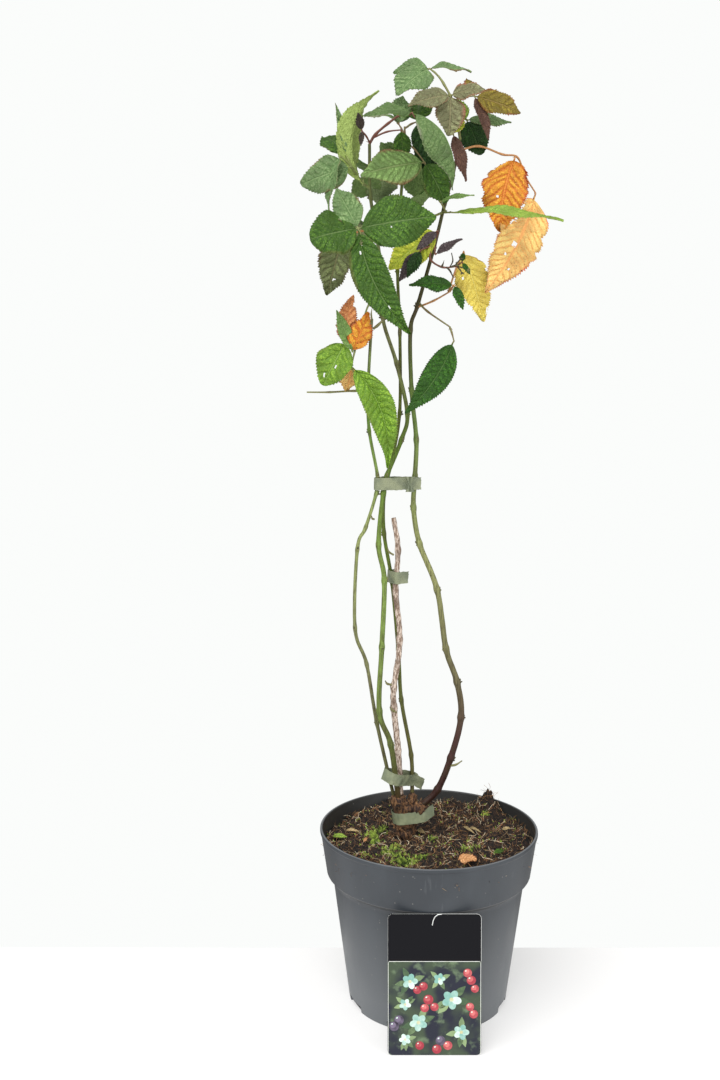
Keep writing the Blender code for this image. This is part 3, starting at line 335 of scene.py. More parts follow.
# Foliage, as in the solids, with each blade's tint at the end of its row
FOLIAGE = {
    "leaves_top": dict(
        cane="stem_right", radius=1.2,
        twig=((22, 4, 747), (19, 3, 762), (14, 3, 778), (8, 6, 790), (4, 10, 797)),
        leaves=(
            (0.98, (150, 40, 12), ((172, -6, 29, 18, -90, 35, 80, "grey"),
                (-140, -36, 44, 33, -105, 20, 25, "grey"), (13, -2, 36, 20, -80, 60, 45, "grey"))),
            (0.62, (-94, -9, 13), ((-162, -16, 38, 23, -95, 28, 20, "blush"),
                (-15, 6, 28, 20, -80, 30, 20, "blush"), (-100, -77, 34, 27, -85, 15, 20, "blush"))),
            (0.55, (3, 13, 19), ((-3, -20, 40, 26, -90, 25, 15, "bronze"),
                (102, 40, 29, 15, -60, 40, 20, "bronze"), (-48, -66, 40, 14, -60, 15, 15, "maroon"))),
            (0.3, (55, 6, 16), ((-12, -66, 31, 27, -85, 12, 20, "dark"),
                (9, -2, 38, 16, -90, 38, 20, "grey"), (128, 18, 35, 24, 150, 60, 30, "green"),
                (165, 62, 18, 14, -90, 20, 15, "lime"))),
            (0.12, (-120, -19, 12), ((-20, -74, 40, 15, -65, 5, 15, "maroon"),
                (20, 58, 17, 12, -85, 20, 20, "turning"))),
        )),
    "leaves_arch": dict(
        cane="stem_green", radius=1.1,
        twig=((-53, 6, 742), (-48, 3, 749), (-38, -4, 756), (-28, -12, 761), (-20, -18, 760)),
        leaves=(
            (0.98, (-75, -1, 7), ((-15, -62, 69, 34, -40, 35, 100, "glaucous"),
                (-160, -9, 41, 24, -100, 48, 45, "glaucous"))),
            (0.12, (-32, 7, 27), ((66, -77, 26, 17, -90, 10, 20, "green"),)),
            (0.02, (-125, 33, 14), ((-129, 69, 14, 9, -90, 10, 10, "bud"),
                (-98, -64, 14, 6, -90, 10, 10, "bud"))),
        )),
    "leaves_inner": dict(
        cane="stem_back", radius=1.1,
        twig=((-24, 4, 739), (-24, 2, 748), (-24, 2, 755)),
        leaves=(
            (0.9, (28, 29, 14), ((-42, -73, 42, 21, -85, 15, 20, "dark"),
                (22, -72, 54, 30, -70, 20, 20, "dark"), (84, 33, 38, 26, 90, 60, 35, "green"))),
            (0.3, (-45, -42, 30), ((-165, -13, 55, 36, -90, 25, 20, "rust"),
                (27, -57, 36, 30, -80, 25, 20, "green"))),
            (0.5, (111, 45, 18), ((73, 64, 28, 20, -60, 50, 20, "grey"),
                (130, 25, 37, 22, 120, 55, 30, "grey"))),
        )),
    "leaves_left": dict(
        cane="stem_green", radius=1.1,
        twig=((-55, 9, 707), (-60, 4, 712), (-66, -6, 719), (-70, -8, 726)),
        leaves=(
            (0.15, (-103, -9, 11), ((17, 80, 77, 34, 135, 0, 70, 0.12, "lime"),)),
            (0.75, (-118, 19, 5), ((172, -18, 43, 34, -95, 20, 15, "grey"),)),
            (0.75, (-150, 38, 16), ((-150, -76, 46, 20, -150, 10, 15, "grey"),)),
            (0.98, (115, 41, 9), ((144, 76, 44, 9, -60, 0, 15, "grey"),
                (117, 27, 48, 26, 130, 50, 35, "green"))),
        )),
    "leaves_centre": dict(
        cane="stem_right", radius=1.0,
        twig=((9, 1, 686), (-3, -6, 681), (-29, -24, 670), (-53, -40, 666)),
        leaves=(
            (1.0, (-148, 4, 11), ((-164, -14, 40, 40, -95, 20, 15, "green"),
                (-4, 8, 62, 45, -85, 15, 15, "green"), (-20, -62, 94, 34, -100, 10, 20, 0.08, "green"),
                (150, 58, 38, 26, -95, 20, 15, "grey"))),
        )),
    "leaves_young": dict(
        cane="stem_right", radius=0.9,
        twig=((3, 0, 671), (0, -8, 658), (-3, -12, 647), (7, -14, 640), (20, -12, 641)),
        leaves=(
            (0.02, (-98, -2, 8), ((-155, -41, 25, 12, -100, 30, 15, "purple"),
                (172, -38, 50, 34, -95, 25, 20, "turning"))),
            (0.3, (-85, -57, 11), ((-16, 27, 25, 11, -80, 40, 15, "purple"),)),
            (0.34, (-163, -20, 12), ((-160, -62, 25, 13, -95, 10, 15, "dark"),
                (167, -54, 30, 15, -95, 10, 15, "purple"))),
            (0.99, (1, 41, 5), ((-17, -55, 12, 6, -80, 30, 10, "deep"),
                (-73, 71, 7, 6, -80, 30, 10, "deep"))),
        )),
    "leaves_yellow": dict(
        cane="stem_right", radius=0.9,
        twig=((-12, 5, 608), (1, 0, 614), (14, -6, 621)),
        leaves=(
            (1.0, (-54, 43, 7), ((-168, 0, 38, 19, -90, 35, 15, "deep"),
                (-40, -65, 22, 11, -80, 15, 15, "deep"))),
            (0.95, (54, 56, 43), ((-13, -73, 61, 33, -85, 15, 20, "yellow"),)),
        )),
    "leaves_orange": dict(
        cane="stem_right", radius=0.9,
        twig=((20, 7, 736), (38, 10, 741), (58, 13, 735), (71, 15, 733), (79, 23, 719), (88, 25, 706)),
        leaves=(
            (0.6, (-120, -20, 3), ((-170, -80, 62, 44, -90, 15, 20, 0.06, "orange"),)),
            (1.0, (0, -90, 2), ((-152, -59, 97, 46, -75, 15, 20, -0.05, "peach"),)),
        )),
    "leaves_long": dict(
        cane="stem_right", radius=0.9,
        twig=((11, 1, 686), (13, -6, 685)),
        leaves=(
            (1.0, (-72, -7, 4), ((-10, -6, 91, 21, -95, 62, 20, "lime"),)),
            (0.5, (-118, 28, 15), ((-20, 6, 29, 11, -95, 55, 20, "light"),)),
        )),
    "leaves_low_left": dict(
        cane="stem_green", radius=0.9,
        twig=((-44, 9, 616), (-52, 2, 613), (-58, -8, 598), (-63, -18, 579)),
        leaves=(
            (0.9, (-160, -22, 12), ((-172, -62, 40, 34, -100, 15, 15, "bright"),)),
            (0.9, (-130, -57, 15), ((-148, 65, 36, 14, -80, 18, 15, "light"),
                (85, 76, 48, 22, -90, 5, 15, -0.1, "red"), (-10, 66, 34, 23, -90, 5, 15, "orange"))),
            (1.0, (-129, -69, 21), ((-29, -68, 89, 32, -95, 15, 20, -0.12, "bright"),
                (106, -56, 23, 20, -80, 5, 15, "peach"))),
        )),
    "bare_stalk": dict(
        cane="stem_left", radius=0.9,
        twig=((-54, -14, 539), (-66, -12, 539), (-86, -16, 538), (-105, -18, 538)),
        leaves=()),
    "leaves_low_right": dict(
        cane="stem_right", radius=0.9,
        twig=((-12, 6, 613), (-4, 0, 605), (14, -8, 592)),
        leaves=(
            (1.0, (-52, -66, 13), ((-156, -53, 74, 27, -80, 20, 15, -0.06, "deep"),)),
        )),
    "leaves_back_high": dict(
        cane="stem_back", radius=1.0,
        twig=((-26, 15, 702), (-25, 26, 712), (-23, 38, 725)),
        leaves=(
            (0.99, (68, 40, 20), ((35, 16, 40, 32, 70, 60, 30, "green"),
                (142, 21, 35, 32, 110, 60, 30, "green"), (72, -40, 44, 34, 80, 30, 30, "green"))),
            (0.5, (140, 25, 22), ((139, 20, 42, 30, 120, 60, 30, "green"),
                (157, -26, 33, 30, 130, 50, 25, "green"), (95, -28, 38, 30, 100, 30, 25, "grey"))),
        )),
    "leaves_back_low": dict(
        cane="stem_green", radius=1.0,
        twig=((-44, 16, 672), (-40, 28, 682), (-33, 40, 689)),
        leaves=(
            (0.99, (48, 20, 15), ((31, 27, 35, 30, 70, 60, 30, "green"),
                (142, 10, 27, 26, 110, 60, 30, "rust"), (71, -30, 37, 32, 80, 30, 30, "green"))),
            (0.1, (-155, -14, 33), ((-146, -72, 50, 33, -95, 10, 15, "mottled"),)),
            (0.4, (146, 4, 15), ((151, 14, 39, 28, 130, 50, 30, "green"),
                (149, -33, 28, 28, 120, 30, 25, "rust"))),
        )),
}


class Channel:
    """A socket of a node tree that takes arithmetic."""

    def __init__(self, tree, socket):
        self.tree = tree
        self.socket = socket

    def math(self, operation, *others):
        made = self.tree.node("ShaderNodeMath", dict(enumerate((self, *others))), operation=operation)
        return Channel(self.tree, made.outputs[0])

    def __add__(self, other):
        return self.math("ADD", other)

    def __sub__(self, other):
        return self.math("SUBTRACT", other)

    def __mul__(self, other):
        return self.math("MULTIPLY", other)

    __radd__ = __add__
    __rmul__ = __mul__

    def __abs__(self):
        return self.math("ABSOLUTE")

    def either(self, other):
        """The larger of two values."""
        return self.math("MAXIMUM", other)

    def between(self, low, high, start=0.0, end=1.0, curve="SMOOTHSTEP"):
        """A step from start to end as the value goes from low to high."""
        inputs = {"Value": self, "From Min": low, "From Max": high, "To Min": start, "To Max": end}
        made = self.tree.node("ShaderNodeMapRange", inputs, interpolation_type=curve)
        return Channel(self.tree, made.outputs["Result"])


class Tree:
    """A node tree under way."""

    def __init__(self, tree):
        self.tree = tree

    def node(self, kind, inputs=(), **settings):
        """A new node with its settings made and its inputs fed."""
        made = self.tree.nodes.new(kind)
        for key, value in settings.items():
            setattr(made, key, value)
        for key, value in dict(inputs).items():
            self.feed(made.inputs[key], value)
        return made

    def feed(self, socket, value):
        """Links a channel or socket to a socket, or sets it to a number, colour or vector."""
        if isinstance(value, Channel):
            value = value.socket
        if isinstance(value, bpy.types.NodeSocket):
            self.tree.links.new(value, socket)
        elif socket.type == "RGBA" and len(value) == 3:
            socket.default_value = (*value, 1)
        else:
            socket.default_value = value


class Finish(Tree):
    """A material under way: patterns laid by place or by marks, and the shader that they feed."""

    def __init__(self, name):
        self.material = bpy.data.materials.new(name)
        self.material.use_nodes = True
        super().__init__(self.material.node_tree)
        self.shader = self.tree.nodes["Principled BSDF"]
        self.place = self.node("ShaderNodeTexCoord").outputs["Object"]

    def mark(self, name):
        """A number kept at the mesh's points."""
        return Channel(self, self.node("ShaderNodeAttribute", attribute_name=name).outputs["Fac"])

    def axis(self, name):
        """One coordinate of the place."""
        return Channel(self, self.node("ShaderNodeSeparateXYZ", {"Vector": self.place}).outputs[name])

    def noise(self, scale, detail=3.0, stretch=(1, 1, 1)):
        """Soft noise, so many lumps to the metre, drawn out along the axes with a small stretch."""
        there = self.node("ShaderNodeMapping", {"Vector": self.place, "Scale": stretch}).outputs[0]
        made = self.node("ShaderNodeTexNoise", {"Vector": there, "Scale": scale, "Detail": detail})
        return Channel(self, made.outputs["Fac"])

    def cells(self, scale, feature="F1"):
        """The distance from the middles or edges of cells."""
        made = self.node("ShaderNodeTexVoronoi", {"Vector": self.place, "Scale": scale}, feature=feature)
        return Channel(self, made.outputs["Distance"])

    def mix(self, share, first, second):
        """One colour over another by a share."""
        return self.node("ShaderNodeMix", {0: share, 6: first, 7: second}, data_type="RGBA").outputs[2]

    def ramp(self, value, stops):
        """A colour read off stops, each a position and a colour."""
        made = self.node("ShaderNodeValToRGB", {"Fac": value})
        bar = made.color_ramp.elements
        while len(bar) < len(stops):
            bar.new(0.5)
        for stop, (position, colour) in zip(bar, stops):
            stop.position = position
            stop.color = (*colour, 1)
        return made.outputs["Color"]

    def done(self, colour, roughness, height=None, depth=0.2 * MM, **constants):
        """Feeds the shader: colour, roughness, a bump of some depth, and constants by input name."""
        self.feed(self.shader.inputs["Base Color"], colour)
        self.feed(self.shader.inputs["Roughness"], roughness)
        if height is not None:
            bump = self.node("ShaderNodeBump", {"Height": height, "Distance": depth, "Strength": 1.0})
            self.feed(self.shader.inputs["Normal"], bump.outputs["Normal"])
        for key, value in constants.items():
            self.shader.inputs[key.replace("_", " ")].default_value = value
        return self.material


class Growth(Tree):
    """A geometry tree with named inputs that grows a plain mesh out of a base mesh."""

    def __init__(self, name, **inputs):
        super().__init__(bpy.data.node_groups.new(name, "GeometryNodeTree"))
        kinds = {"Base": "Geometry", **inputs, "Finish": "Material"}
        add = self.tree.interface.new_socket
        self.sockets = {key: add(name=key, in_out="INPUT", socket_type=f"NodeSocket{kind}")
                        for key, kind in kinds.items()}
        add(name="Grown", in_out="OUTPUT", socket_type="NodeSocketGeometry")
        self.given = self.node("NodeGroupInput").outputs

    def kept(self, name):
        """A number kept at the base's points."""
        made = self.node("GeometryNodeInputNamedAttribute", {"Name": name}, data_type="FLOAT")
        return Channel(self, made.outputs["Attribute"])

    def keep(self, shape, name, value, domain="POINT"):
        """The shape with a number kept on it."""
        return self.node("GeometryNodeStoreNamedAttribute", {"Geometry": shape, "Name": name, "Value": value},
                         data_type="FLOAT", domain=domain).outputs[0]

    def chance(self, low, high, seed):
        """A random number for each point."""
        made = self.node("FunctionNodeRandomValue", {2: low, 3: high, "Seed": seed}, data_type="FLOAT")
        return made.outputs[1]

    def close(self, shape):
        """Ends the tree in real geometry with the given finish."""
        real = self.node("GeometryNodeRealizeInstances", {"Geometry": shape}).outputs[0]
        skin = self.node("GeometryNodeSetMaterial", {"Geometry": real, "Material": self.given["Finish"]})
        self.node("NodeGroupOutput", {0: skin.outputs[0]})

    def grown(self, base, **values):
        """The plain mesh grown out of a base mesh with some values."""
        host = linked("host", base)
        grow = host.modifiers.new("Growth", "NODES")
        grow.node_group = self.tree
        for key, value in values.items():
            grow[self.sockets[key].identifier] = value
        return plain(host)


class Batch:
    """Faces gathered for one piece, with marks at each point."""

    MARKS = ("along", "across", "rib", "tone", "under")

    def __init__(self):
        self.points = []
        self.faces = []
        self.marks = []

    def add(self, points, faces, marks):
        first = len(self.points)
        self.points.extend(points)
        self.marks.extend(marks)
        self.faces.extend(tuple(first + i for i in face) for face in faces)

    def mesh(self, name="bit"):
        """The gathered faces as one mesh."""
        mesh = bpy.data.meshes.new(name)
        mesh.from_pydata(self.points, [], self.faces)
        for k, mark in enumerate(self.MARKS):
            layer = mesh.attributes.new(mark, "FLOAT", "POINT")
            layer.data.foreach_set("value", [row[k] for row in self.marks])
        return mesh


def linked(name, data):
    """A new object of the scene."""
    obj = bpy.data.objects.new(name, data)
    bpy.context.scene.collection.objects.link(obj)
    return obj


def plain(obj):
    """The object's finished mesh, in place of the object."""
    bpy.context.view_layer.update()
    mesh = bpy.data.meshes.new_from_object(obj.evaluated_get(bpy.context.evaluated_depsgraph_get()))
    mesh.transform(obj.matrix_world)
    bpy.data.objects.remove(obj)
    return mesh


def piece(name, mesh, slot, replaced=(), finish=None, crease=60):
    """A mesh as a piece of the part, smooth up to the crease angle, in place of some solids."""
    if finish:
        mesh.materials.clear()
        mesh.materials.append(finish)
    mesh.name = name
    mesh.shade_smooth()
    mesh.set_sharp_from_angle(angle=math.radians(crease))
    obj = linked(name, mesh)
    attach(obj, "root")
    if replaced:
        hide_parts(*replaced)


def direction(heading, rise):
    """The unit vector of a heading and a rise in degrees."""
    turn, climb = math.radians(heading), math.radians(rise)
    return Vector((math.cos(climb) * math.cos(turn), math.cos(climb) * math.sin(turn), math.sin(climb)))


def flowing(points, step):
    """Places about a step apart on the smooth curve through some points in mm, with each one's share."""
    points = [Vector(point) * MM for point in points]
    ends = [2 * points[0] - points[1]] + points + [2 * points[-1] - points[-2]]
    curve = []
    for i in range(len(points) - 1):
        a, b, c, d = ends[i:i + 4]
        count = max(1, round((c - b).length / step))
        for k in range(count):
            t = k / count
            place = 0.5 * (2 * b + (c - a) * t + (2 * a - 5 * b + 4 * c - d) * t ** 2
                           + (3 * b - a - 3 * c + d) * t ** 3)
            curve.append((place, i + t))
    curve.append((points[-1], float(len(points) - 1)))
    return curve


class Cane:
    """A limb's smooth centre line, with its radius along it."""

    def __init__(self, path, radii, step=CANE_STEP):
        curve = flowing(path, step)
        self.centres = [place for place, _ in curve]
        self.radii = []
        spans = len(path) - 1
        for place, share in curve:
            k = min(int(share), spans - 1)
            even = radii[0] + share / spans * (radii[-1] - radii[0])
            if len(radii) == len(path):
                even = radii[k] + (share - k) * (radii[k + 1] - radii[k])
            node = Vector(path[round(share)]) * MM
            inner = 0 < round(share) < spans
            swell = NODE_SWELL * math.exp(-((place - node).length / NODE_REACH) ** 2) if inner else 0
            self.radii.append(even * MM * (1 + swell))

    def nearest(self, place):
        """The nearest centre to a place, with the limb's heading and radius there."""
        i = min(range(len(self.centres)), key=lambda k: (self.centres[k] - place).length)
        before, after = self.centres[max(i - 1, 0)], self.centres[min(i + 1, len(self.centres) - 1)]
        return self.centres[i], (after - before).normalized(), self.radii[i]

    def at(self, share):
        """The place at a share of the length."""
        lengths = [0.0]
        for a, b in zip(self.centres, self.centres[1:]):
            lengths.append(lengths[-1] + (b - a).length)
        wanted = share * lengths[-1]
        k = max(i for i in range(len(lengths) - 1) if lengths[i] <= wanted)
        part = (wanted - lengths[k]) / (lengths[k + 1] - lengths[k])
        return self.centres[k].lerp(self.centres[k + 1], part)


def limb(batch, centres, radii, sides=8, tone=0.0):
    """A round limb through the centres, closed at both ends."""
    last = len(centres) - 1
    aims = [(centres[min(i + 1, last)] - centres[max(i - 1, 0)]).normalized() for i in range(last + 1)]
    side = aims[0].orthogonal().normalized()
    points, marks, faces = [], [], []
    for i, (centre, aim) in enumerate(zip(centres, aims)):
        if i:
            side = aims[i - 1].rotation_difference(aim) @ side
        side = (side - side.dot(aim) * aim).normalized()
        other = aim.cross(side)
        for k in range(sides):
            turn = math.tau * k / sides
            points.append(centre + (side * math.cos(turn) + other * math.sin(turn)) * radii[i])
            marks.append((i / last, k / sides, 0, tone, 0))
    for i in range(last):
        for k in range(sides):
            a, b = i * sides + k, i * sides + (k + 1) % sides
            faces.append((a, b, b + sides, a + sides))
    faces.append(tuple(reversed(range(sides))))
    faces.append(tuple(range(last * sides, (last + 1) * sides)))
    batch.add(points, faces, marks)


def thin_shell(batch, rows, normals, thickness, marks, is_gone=None):
    """A closed thin sheet over a grid of places, with the gone cells left open."""
    height, width = len(rows), len(rows[0])
    spots = [place for row in rows for place in row]
    lifts = [normal * thickness / 2 for row in normals for normal in row]
    flat = [mark for row in marks for mark in row]
    points = [p + n for p, n in zip(spots, lifts)] + [p - n for p, n in zip(spots, lifts)]
    both = [(*mark, 0) for mark in flat] + [(*mark, 1) for mark in flat]
    faces, edges = [], set()
    under = height * width
    for i in range(height - 1):
        for j in range(width - 1):
            if is_gone and is_gone(i, j):
                continue
            a = i * width + j
            cell = (a, a + 1, a + width + 1, a + width)
            faces.append(cell)
            faces.append(tuple(k + under for k in reversed(cell)))
            edges.update(zip(cell, cell[1:] + cell[:1]))
    for u, v in sorted(edges):
        if (v, u) not in edges:
            faces.append((v, u, u + under, v + under))
    used = sorted({k for face in faces for k in face})
    new = {k: i for i, k in enumerate(used)}
    kept = [tuple(new[k] for k in face) for face in faces]
    batch.add([points[k] for k in used], kept, [both[k] for k in used])


def half_width(t, roundness):
    """A blade's half-width at a share of its length: a narrow neck, a belly and a tip, drawn out if slim."""
    s = max(0.0, min(1.0, (t - NECK_SHARE) / (1 - NECK_SHARE)))
    belly = max(0.0, math.sin(math.pi * s ** (0.78 + 0.12 * roundness))) ** (0.8 - 0.2 * roundness)
    slim = 1 - roundness
    drawn = 1 - 0.25 * slim * max(0.0, min(1.0, (s - 0.72) / 0.22)) * (1 - max(0.0, (s - 0.94) / 0.06))
    return 0.03 + (1 + 0.06 * slim) * belly * (1 - 0.25 * slim * s) * drawn


def blade(batch, root, row, fold, chance, holes=()):
    """One toothed and quilted leaf blade on the arc that its row gives."""
    *sizes, tint = row
    heading, rise, length, width, face, lift, arch, sway = (*sizes, 0.0)[:8]
    along, up = direction(heading, rise), direction(face, lift)
    up = (up - up.dot(along) * along).normalized()
    side = along.cross(up)
    length, width, arch = length * MM, width * MM, math.radians(arch)
    bend = length / 2 / math.sin(arch / 2)
    is_old = tint in OLD_TINTS
    roundness = max(0.0, min(1.0, (width / length - SLIM_SHAPE) / (ROUND_SHAPE - SLIM_SHAPE)))
    count = 3 * max(6, round(length / (OLD_TOOTH if is_old else TOOTH)))
    veins = max(5, round(length / VEIN_SPACING))
    slant = VEIN_SLANT * veins * width / length
    tone, wave, swing = chance.random(), chance.uniform(1.2, 2.2), chance.uniform(0, math.tau)
    twist = math.radians(chance.uniform(-1, 1) * (OLD_TWIST if is_old else TWIST))
    ruffle = width * (OLD_RUFFLE if is_old else RUFFLE)
    depth = OLD_TOOTH_DEPTH if is_old else TOOTH_DEPTH
    rows, lifts, marks = [], [], []
    for i in range(count + 1):
        t = i / count
        turn = arch * (0.5 - t)
        centre = root + along * (bend * (math.sin(arch / 2) - math.sin(turn)) + BLADE_START)
        centre += up * bend * (math.cos(turn) - math.cos(arch / 2))
        centre += side * sway * length * 4 * t * (1 - t)
        ahead = along * math.cos(turn) + up * math.sin(turn)
        normal = up * math.cos(turn) - along * math.sin(turn)
        roll = Matrix.Rotation(twist * (t - 0.3), 3, ahead)
        normal, flank = roll @ normal, roll @ side
        saw = (i % 3) / 2 * (0.7 + 0.5 * noise.noise(Vector((i // 3 * 0.9, swing, 0))))
        reach = width / 2 * half_width(t, roundness)
        ends = min(1.0, 6 * t, 5 * (1 - t))
        line, line_up, line_marks = [], [], []
        for j in range(LEAF_COLUMNS + 1):
            s = 2 * j / LEAF_COLUMNS - 1
            edge = abs(s)
            tooth = edge ** 6 * min(1.0, ends + 0.15)
            worn = OLD_WEAR * max(0.0, noise.noise(Vector((14 * t, 2 * (s > 0), swing)))) if is_old else 0
            out = s * (reach * (1 - worn) - tooth * (1 - saw) * min(depth, 0.3 * reach))
            rib = t * veins - slant * edge ** 0.9 * half_width(t, roundness) + (0.15 if s > 0 else -0.15)
            rib += 0.5 * noise.noise(Vector((6 * t, 2 * s, swing)))
            crest = abs(math.sin(math.pi * rib)) ** 0.7 - 0.6
            height = QUILT * width * crest * min(1.0, 3 * edge) * (1 - 0.55 * edge) * ends
            height += math.sin(fold) * edge * reach - 0.16 * reach * edge ** 3
            phase = math.tau * wave * t + swing + (1.3 if s > 0 else 0)
            height += ruffle * edge ** 2 * math.sin(phase) * min(1.0, 4 * t)
            place = centre + flank * math.cos(fold) * out + normal * height + ahead * tooth * saw * 0.8 * MM
            lump = OLD_LUMPS if is_old else LUMPS
            place += normal * lump * noise.noise(place * 170) * min(1.0, 5 * t)
            line.append(place)
            line_up.append((normal - flank * math.sin(fold) * (1 if s > 0 else -1)).normalized())
            line_marks.append((t, s, rib, tone))
        rows.append(line)
        lifts.append(line_up)
        marks.append(line_marks)

    def is_gone(i, j):
        t, s = (i + 0.5) / count, 2 * (j + 0.5) / LEAF_COLUMNS - 1
        ragged = 1 + 0.5 * noise.noise(Vector((i * 0.7, j * 0.9, length / MM)))
        return any(math.hypot((t - a) * length, (s - b) * width / 2) < r * MM * ragged for a, b, r in holes)

    thin_shell(batch, rows, lifts, LEAF_THICKNESS, marks, is_gone if holes else None)


def leaf_finish(name, crest, furrow_shade, vein, under, margin, reach, band, spots):
    """A leaf's skin: small puckers between soft veins, with painted shade in the furrows and in the creases
    between the puckers and painted highlights on their tops, a tinted margin, and spots where it fades.
    """
    finish = Finish(name)
    edge, tone = abs(finish.mark("across")), finish.mark("tone")
    cloud, patch, fine = finish.noise(70, 4.0), finish.noise(26, 2.0), finish.noise(620, 2.0)
    to_vein = abs((finish.mark("rib") + (cloud - 0.5) * 0.35).math("FRACT") - 0.5) * 2
    dome = finish.cells(560)
    # edges of small cells: on the face they carry painted shade in the creases between the puckers, on the
    # under face pale veinlets
    net = dome.between(0.32, 0.62) * cloud.between(0.25, 0.60, 0.5, 1.0)
    # painted shade: the furrows beside the side veins and along the midrib are darkened towards the dark
    # furrow colour; the same mask deepens the bump
    shaded_groove = to_vein.between(1 - band, 1.0) * cloud.between(0.30, 0.60, 0.45, 1.0)
    shaded_groove = shaded_groove.either(edge.between(0.12, 0.02))
    line = (to_vein.between(0.88, 0.98) * 0.28).either(edge.between(0.040, 0.012) * 0.6)
    shade, light = [0.55 * c for c in crest], [min(1.0, 1.25 * c) for c in crest]
    face = finish.mix(cloud.between(0.32, 0.66), shade, light)
    # the dark furrow colour, which is painted shade, is also mixed in a little at random by the leaf's tone
    # and by fine noise
    face = finish.mix(tone * 0.2, face, furrow_shade)
    face = finish.mix(fine * 0.25, face, furrow_shade)
    # painted shade laid in the furrows
    face = finish.mix(shaded_groove * (0.35 + 0.6 * band + 0.2 * spots), face, furrow_shade)
    # painted shade in the creases between the puckers
    face = finish.mix(net * (0.75 - 0.45 * spots), face, furrow_shade)
    # painted highlights: small lighter spots on the tops of the puckers
    face = finish.mix(dome.between(0.20, 0.08) * fine.between(0.42, 0.65, 0.0, 0.4), face,
                      [min(1.0, 1.25 * c + 0.03) for c in crest])
    face = finish.mix(line, face, vein)
    fringe = (edge + (cloud - 0.5) * 0.7 + (patch - 0.5) * 0.9).between(1.02 - reach, 1.14)
    face = finish.mix(fringe * 0.9, face, margin)
    speck = finish.cells(290).between(0.27, 0.15) * patch.between(0.62 - 0.3 * spots, 0.74)
    face = finish.mix(speck * min(1.0, 1.1 * spots), face, [0.30 * c for c in margin])
    back = finish.mix((line * 1.2).either(net * 0.3), under, [min(1.0, 1.35 * c + 0.02) for c in under])
    back = finish.mix(fringe * 0.5, back, margin)
    face = finish.mix(finish.mark("under"), face, back)
    height = fine * 0.3 - dome * 0.8 - shaded_groove * 0.5
    return finish.done(face, fine.between(0.2, 0.8, 0.42, 0.66), height, 0.8 * MM, Specular_IOR_Level=0.22)


def stem_finish(name, stops):
    """Young bark: bands of colour up the cane, long streaks, pale pores and a satin skin."""
    finish = Finish(name)
    low, high = stops[0][0] * MM, stops[-1][0] * MM
    climb = finish.axis("Z").between(low, high, curve="LINEAR")
    bands = [((z * MM - low) / (high - low), colour) for z, colour in stops]
    skin, pale = (finish.ramp(climb, [(place, [gain * c for c in colour]) for place, colour in bands])
                  for gain in (1.0, 1.7))
    streak = finish.noise(900, 3.0, (1, 1, 0.08))
    blotch = finish.noise(60, 3.0)
    pore = finish.cells(420).between(0.28, 0.14)
    skin = finish.mix(streak.between(0.45, 0.75, 0.0, 0.6), skin, pale)
    skin = finish.mix(blotch.between(0.50, 0.70, 0.0, 0.45), skin, (0.060, 0.036, 0.016))
    skin = finish.mix(streak.between(0.46, 0.36, 0.0, 0.55), skin, (0.040, 0.034, 0.012))
    skin = finish.mix(pore * 0.5, skin, pale)
    return finish.done(skin, streak.between(0.3, 0.8, 0.45, 0.65), streak * 0.8 + pore * 0.4, 0.25 * MM,
                       Specular_IOR_Level=0.3)


def old_bark_finish(name, light, dark, scale=1.0):
    """Dry bark: long flakes, pale ridges and dark clefts."""
    finish = Finish(name)
    flake = finish.noise(300 * scale, 5.0, (1, 1, 0.30))
    crack = finish.noise(620 * scale, 4.0, (1, 1, 0.16))
    blotch = finish.noise(60, 3.0)
    skin = finish.mix(flake.between(0.42, 0.56), dark, light)
    skin = finish.mix(blotch.between(0.48, 0.66, 0.0, 0.75), skin, [0.7 * c for c in dark])
    skin = finish.mix(crack.between(0.44, 0.34, 0.0, 0.9), skin, [0.22 * c for c in dark])
    return finish.done(skin, 0.85, flake + crack * 0.7, 0.6 * MM)


def toned_finish(name, dark, light, roughness, scale, depth):
    """A grainy skin whose colour goes from dark to light with the tone mark and with noise."""
    finish = Finish(name)
    grain = finish.noise(scale, 4.0)
    share = (finish.mark("tone") + (grain - 0.5) * 0.9).between(0.0, 1.0)
    return finish.done(finish.mix(share, dark, light), roughness, grain, depth)


# Pot
def rounded(points, radius):
    """The points with each inner corner turned into a small arc."""
    path = [points[0]]
    for before, corner, after in zip(points, points[1:], points[2:]):
        a, b, c = Vector(before), Vector(corner), Vector(after)
        near = min(radius, 0.45 * (a - b).length, 0.45 * (c - b).length)
        start, end = b + (a - b).normalized() * near, b + (c - b).normalized() * near
        for k in range(5):
            t = k / 4
            path.append(tuple((1 - t) ** 2 * start + 2 * t * (1 - t) * b + t ** 2 * end))
    return path + [points[-1]]


